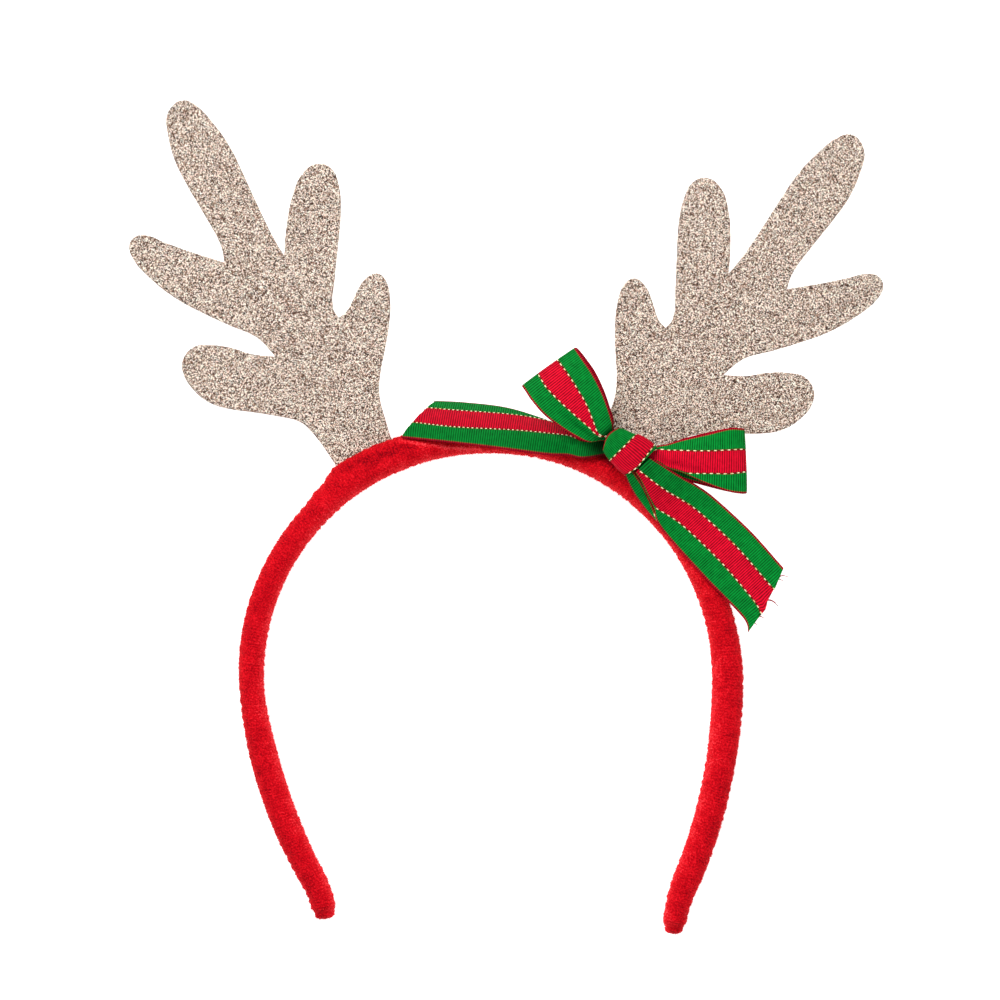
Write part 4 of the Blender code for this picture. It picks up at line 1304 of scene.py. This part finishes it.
def make_threads():
    points, faces = [], []
    for thread in LOOSE_THREADS:
        more_points, more_faces = make_thread(*thread)
        faces += shift_faces(more_faces, len(points))
        points += more_points
    material, tree, shader = start_material("red_thread", Roughness=0.7, Specular_IOR_Level=0.2)
    colour = tree.mix(tree.noise(900.0), linear(120, 6, 30), linear(176, 20, 48))
    feed(tree, shader, Base_Color=colour)
    return closed_piece("bow_loose_threads", points, faces, material)


loose_threads = make_threads()
print(len(LOOSE_THREADS), "loose threads")

# %% [markdown]
# ## The knot
# A short length of the same ribbon is wrapped round the middle of the bow and glued at the back. Its
# stripes run round the wrap, so across the bow, and its ribs run along it. It is a sleeve, open at both
# ends, from which the loops and tails come out.

# %% Knot
KNOT_GIRTH = 31 * MM
KNOT_AROUND = 250
KNOT_REACH = (-0.56, 0.6)
KNOT_STEPS = 60
KNOT_SOFTEN = (0.05, 0.25, 0.4, 0.25, 0.05)
KNOT_LAST = 0.71
KNOT_COLUMNS = np.concatenate([
    np.linspace(0, 0.03, 4), np.linspace(0.05, LINE_LOW, 9), np.linspace(LINE_LOW, LINE_HIGH, 11)[1:],
    np.linspace(LINE_HIGH, KNOT_LAST, 4)[1:],
])


def even_turns(count):
    """Angles that lie at even distances along the knot's boxy outline."""
    fine = np.linspace(0, 2 * math.pi, 2001)
    sideways, up = boxy(fine, KNOT_BOXINESS)
    steps = np.hypot(np.diff(sideways) * KNOT_WIDTH * 0.9, np.diff(up) * KNOT_DEPTH)
    lengths = np.concatenate([[0], np.cumsum(steps)])
    return np.interp((np.arange(count) + 0.5) / count * lengths[-1], lengths, fine)


def knot_sizes():
    """Places along the knot, and its lower and upper half width and its depth there, softened."""
    rows = np.array(KNOT_ROWS)
    places = np.linspace(*KNOT_REACH, KNOT_STEPS)
    sizes = [np.interp(places, rows[:, 0], rows[:, k]) for k in (1, 2, 3)]
    return places, [np.convolve(np.pad(values, 2, "edge"), KNOT_SOFTEN, "valid") for values in sizes]


def knot_lines(sideways):
    """Where the selvages and colour lines lie along the knot: they slant and bend across it."""
    height = 0.45 * sideways
    above, below = np.maximum(height, 0) ** 2, np.minimum(height, 0) ** 2
    first = -0.545 + 0.38 * above + 0.75 * below
    last = 0.535 + 0.08 * above - 0.45 * below
    return [first, -0.062 + 0.06 * height, np.minimum(0.516 - 0.112 * height, last - 0.012), last]


def make_knot():
    """A sleeve of rings. Each ring is one line of the ribbon, so it follows the slant of the stripes."""
    dense, sizes = knot_sizes()
    sideways, up = boxy(even_turns(KNOT_AROUND), KNOT_BOXINESS)
    lines = knot_lines(sideways)
    marks = [0, LINE_LOW, LINE_HIGH, KNOT_LAST]
    rings = []
    for wall in (0.0, RIBBON_THICK):
        part = []
        for column in KNOT_COLUMNS:
            k = min(int(np.searchsorted(marks, column, "right")) - 1, 2)
            share = (column - marks[k]) / (marks[k + 1] - marks[k])
            place = lines[k] + (lines[k + 1] - lines[k]) * share
            lower, upper, depth = (np.interp(place, dense, values) for values in sizes)
            half = np.where(sideways > 0, upper, lower) * KNOT_WIDTH - wall
            ring = KNOT + np.outer(place * KNOT_LENGTH, KNOT_ALONG) + np.outer(sideways * half, KNOT_ACROSS)
            ring[:, 2] += up * (depth * KNOT_DEPTH / 2 - wall)
            part.append(ring)
        rings += part if wall == 0 else part[::-1]
    count = len(rings)
    faces = close_grid(count, KNOT_AROUND)
    last = (count - 1) * KNOT_AROUND
    for k in range(KNOT_AROUND):
        after = (k + 1) % KNOT_AROUND
        faces.append((last + k, last + after, after, k))
    across = np.concatenate([KNOT_COLUMNS, KNOT_COLUMNS[::-1]])
    side = np.repeat([1.0, -1.0], len(KNOT_COLUMNS))
    return closed_piece(
        "knot_form",
        np.vstack(rings),
        faces,
        along=np.tile(np.arange(KNOT_AROUND) / KNOT_AROUND * KNOT_GIRTH, count),
        across=np.repeat(across, KNOT_AROUND),
        side=np.repeat(side, KNOT_AROUND),
        # Painted shade: darker towards the knot's back, lighter on its front.
        shade=np.tile(np.clip(0.5 + 0.4 * (up + 0.6), 0.5, 0.9), count),
        lip=np.zeros(count * KNOT_AROUND),
        sewn=np.full(count * KNOT_AROUND, 2.0),
    )


bow["bow_knot"] = {"pieces": dress("bow_knot", make_knot(), LONG_STITCH), "length": KNOT_GIRTH}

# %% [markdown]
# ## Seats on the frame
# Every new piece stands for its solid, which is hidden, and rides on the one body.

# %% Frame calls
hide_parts("band")
for piece in (velour_band, velour_pile):
    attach(piece, "root")
for node, (sheet, flakes) in antlers.items():
    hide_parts(node)
    for piece in (sheet, flakes):
        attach(piece, "root")
for node, part in bow.items():
    ribbon, stitches = part["pieces"]
    flat_area = 16 * MM * part["length"] * 0.85
    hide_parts(node)
    node == "bow_knot"
    for piece in part["pieces"]:
        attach(piece, "root")
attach(loose_threads, "root")

# %% Sizes
sizes = {
    "cad": [list(cad_low), list(cad_high)],
    "visual": [list(corner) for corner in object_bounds()],
}
for title, (low, high) in sizes.items():
    print(title, [round((b - a) / MM, 1) for a, b in zip(low, high)], "mm")
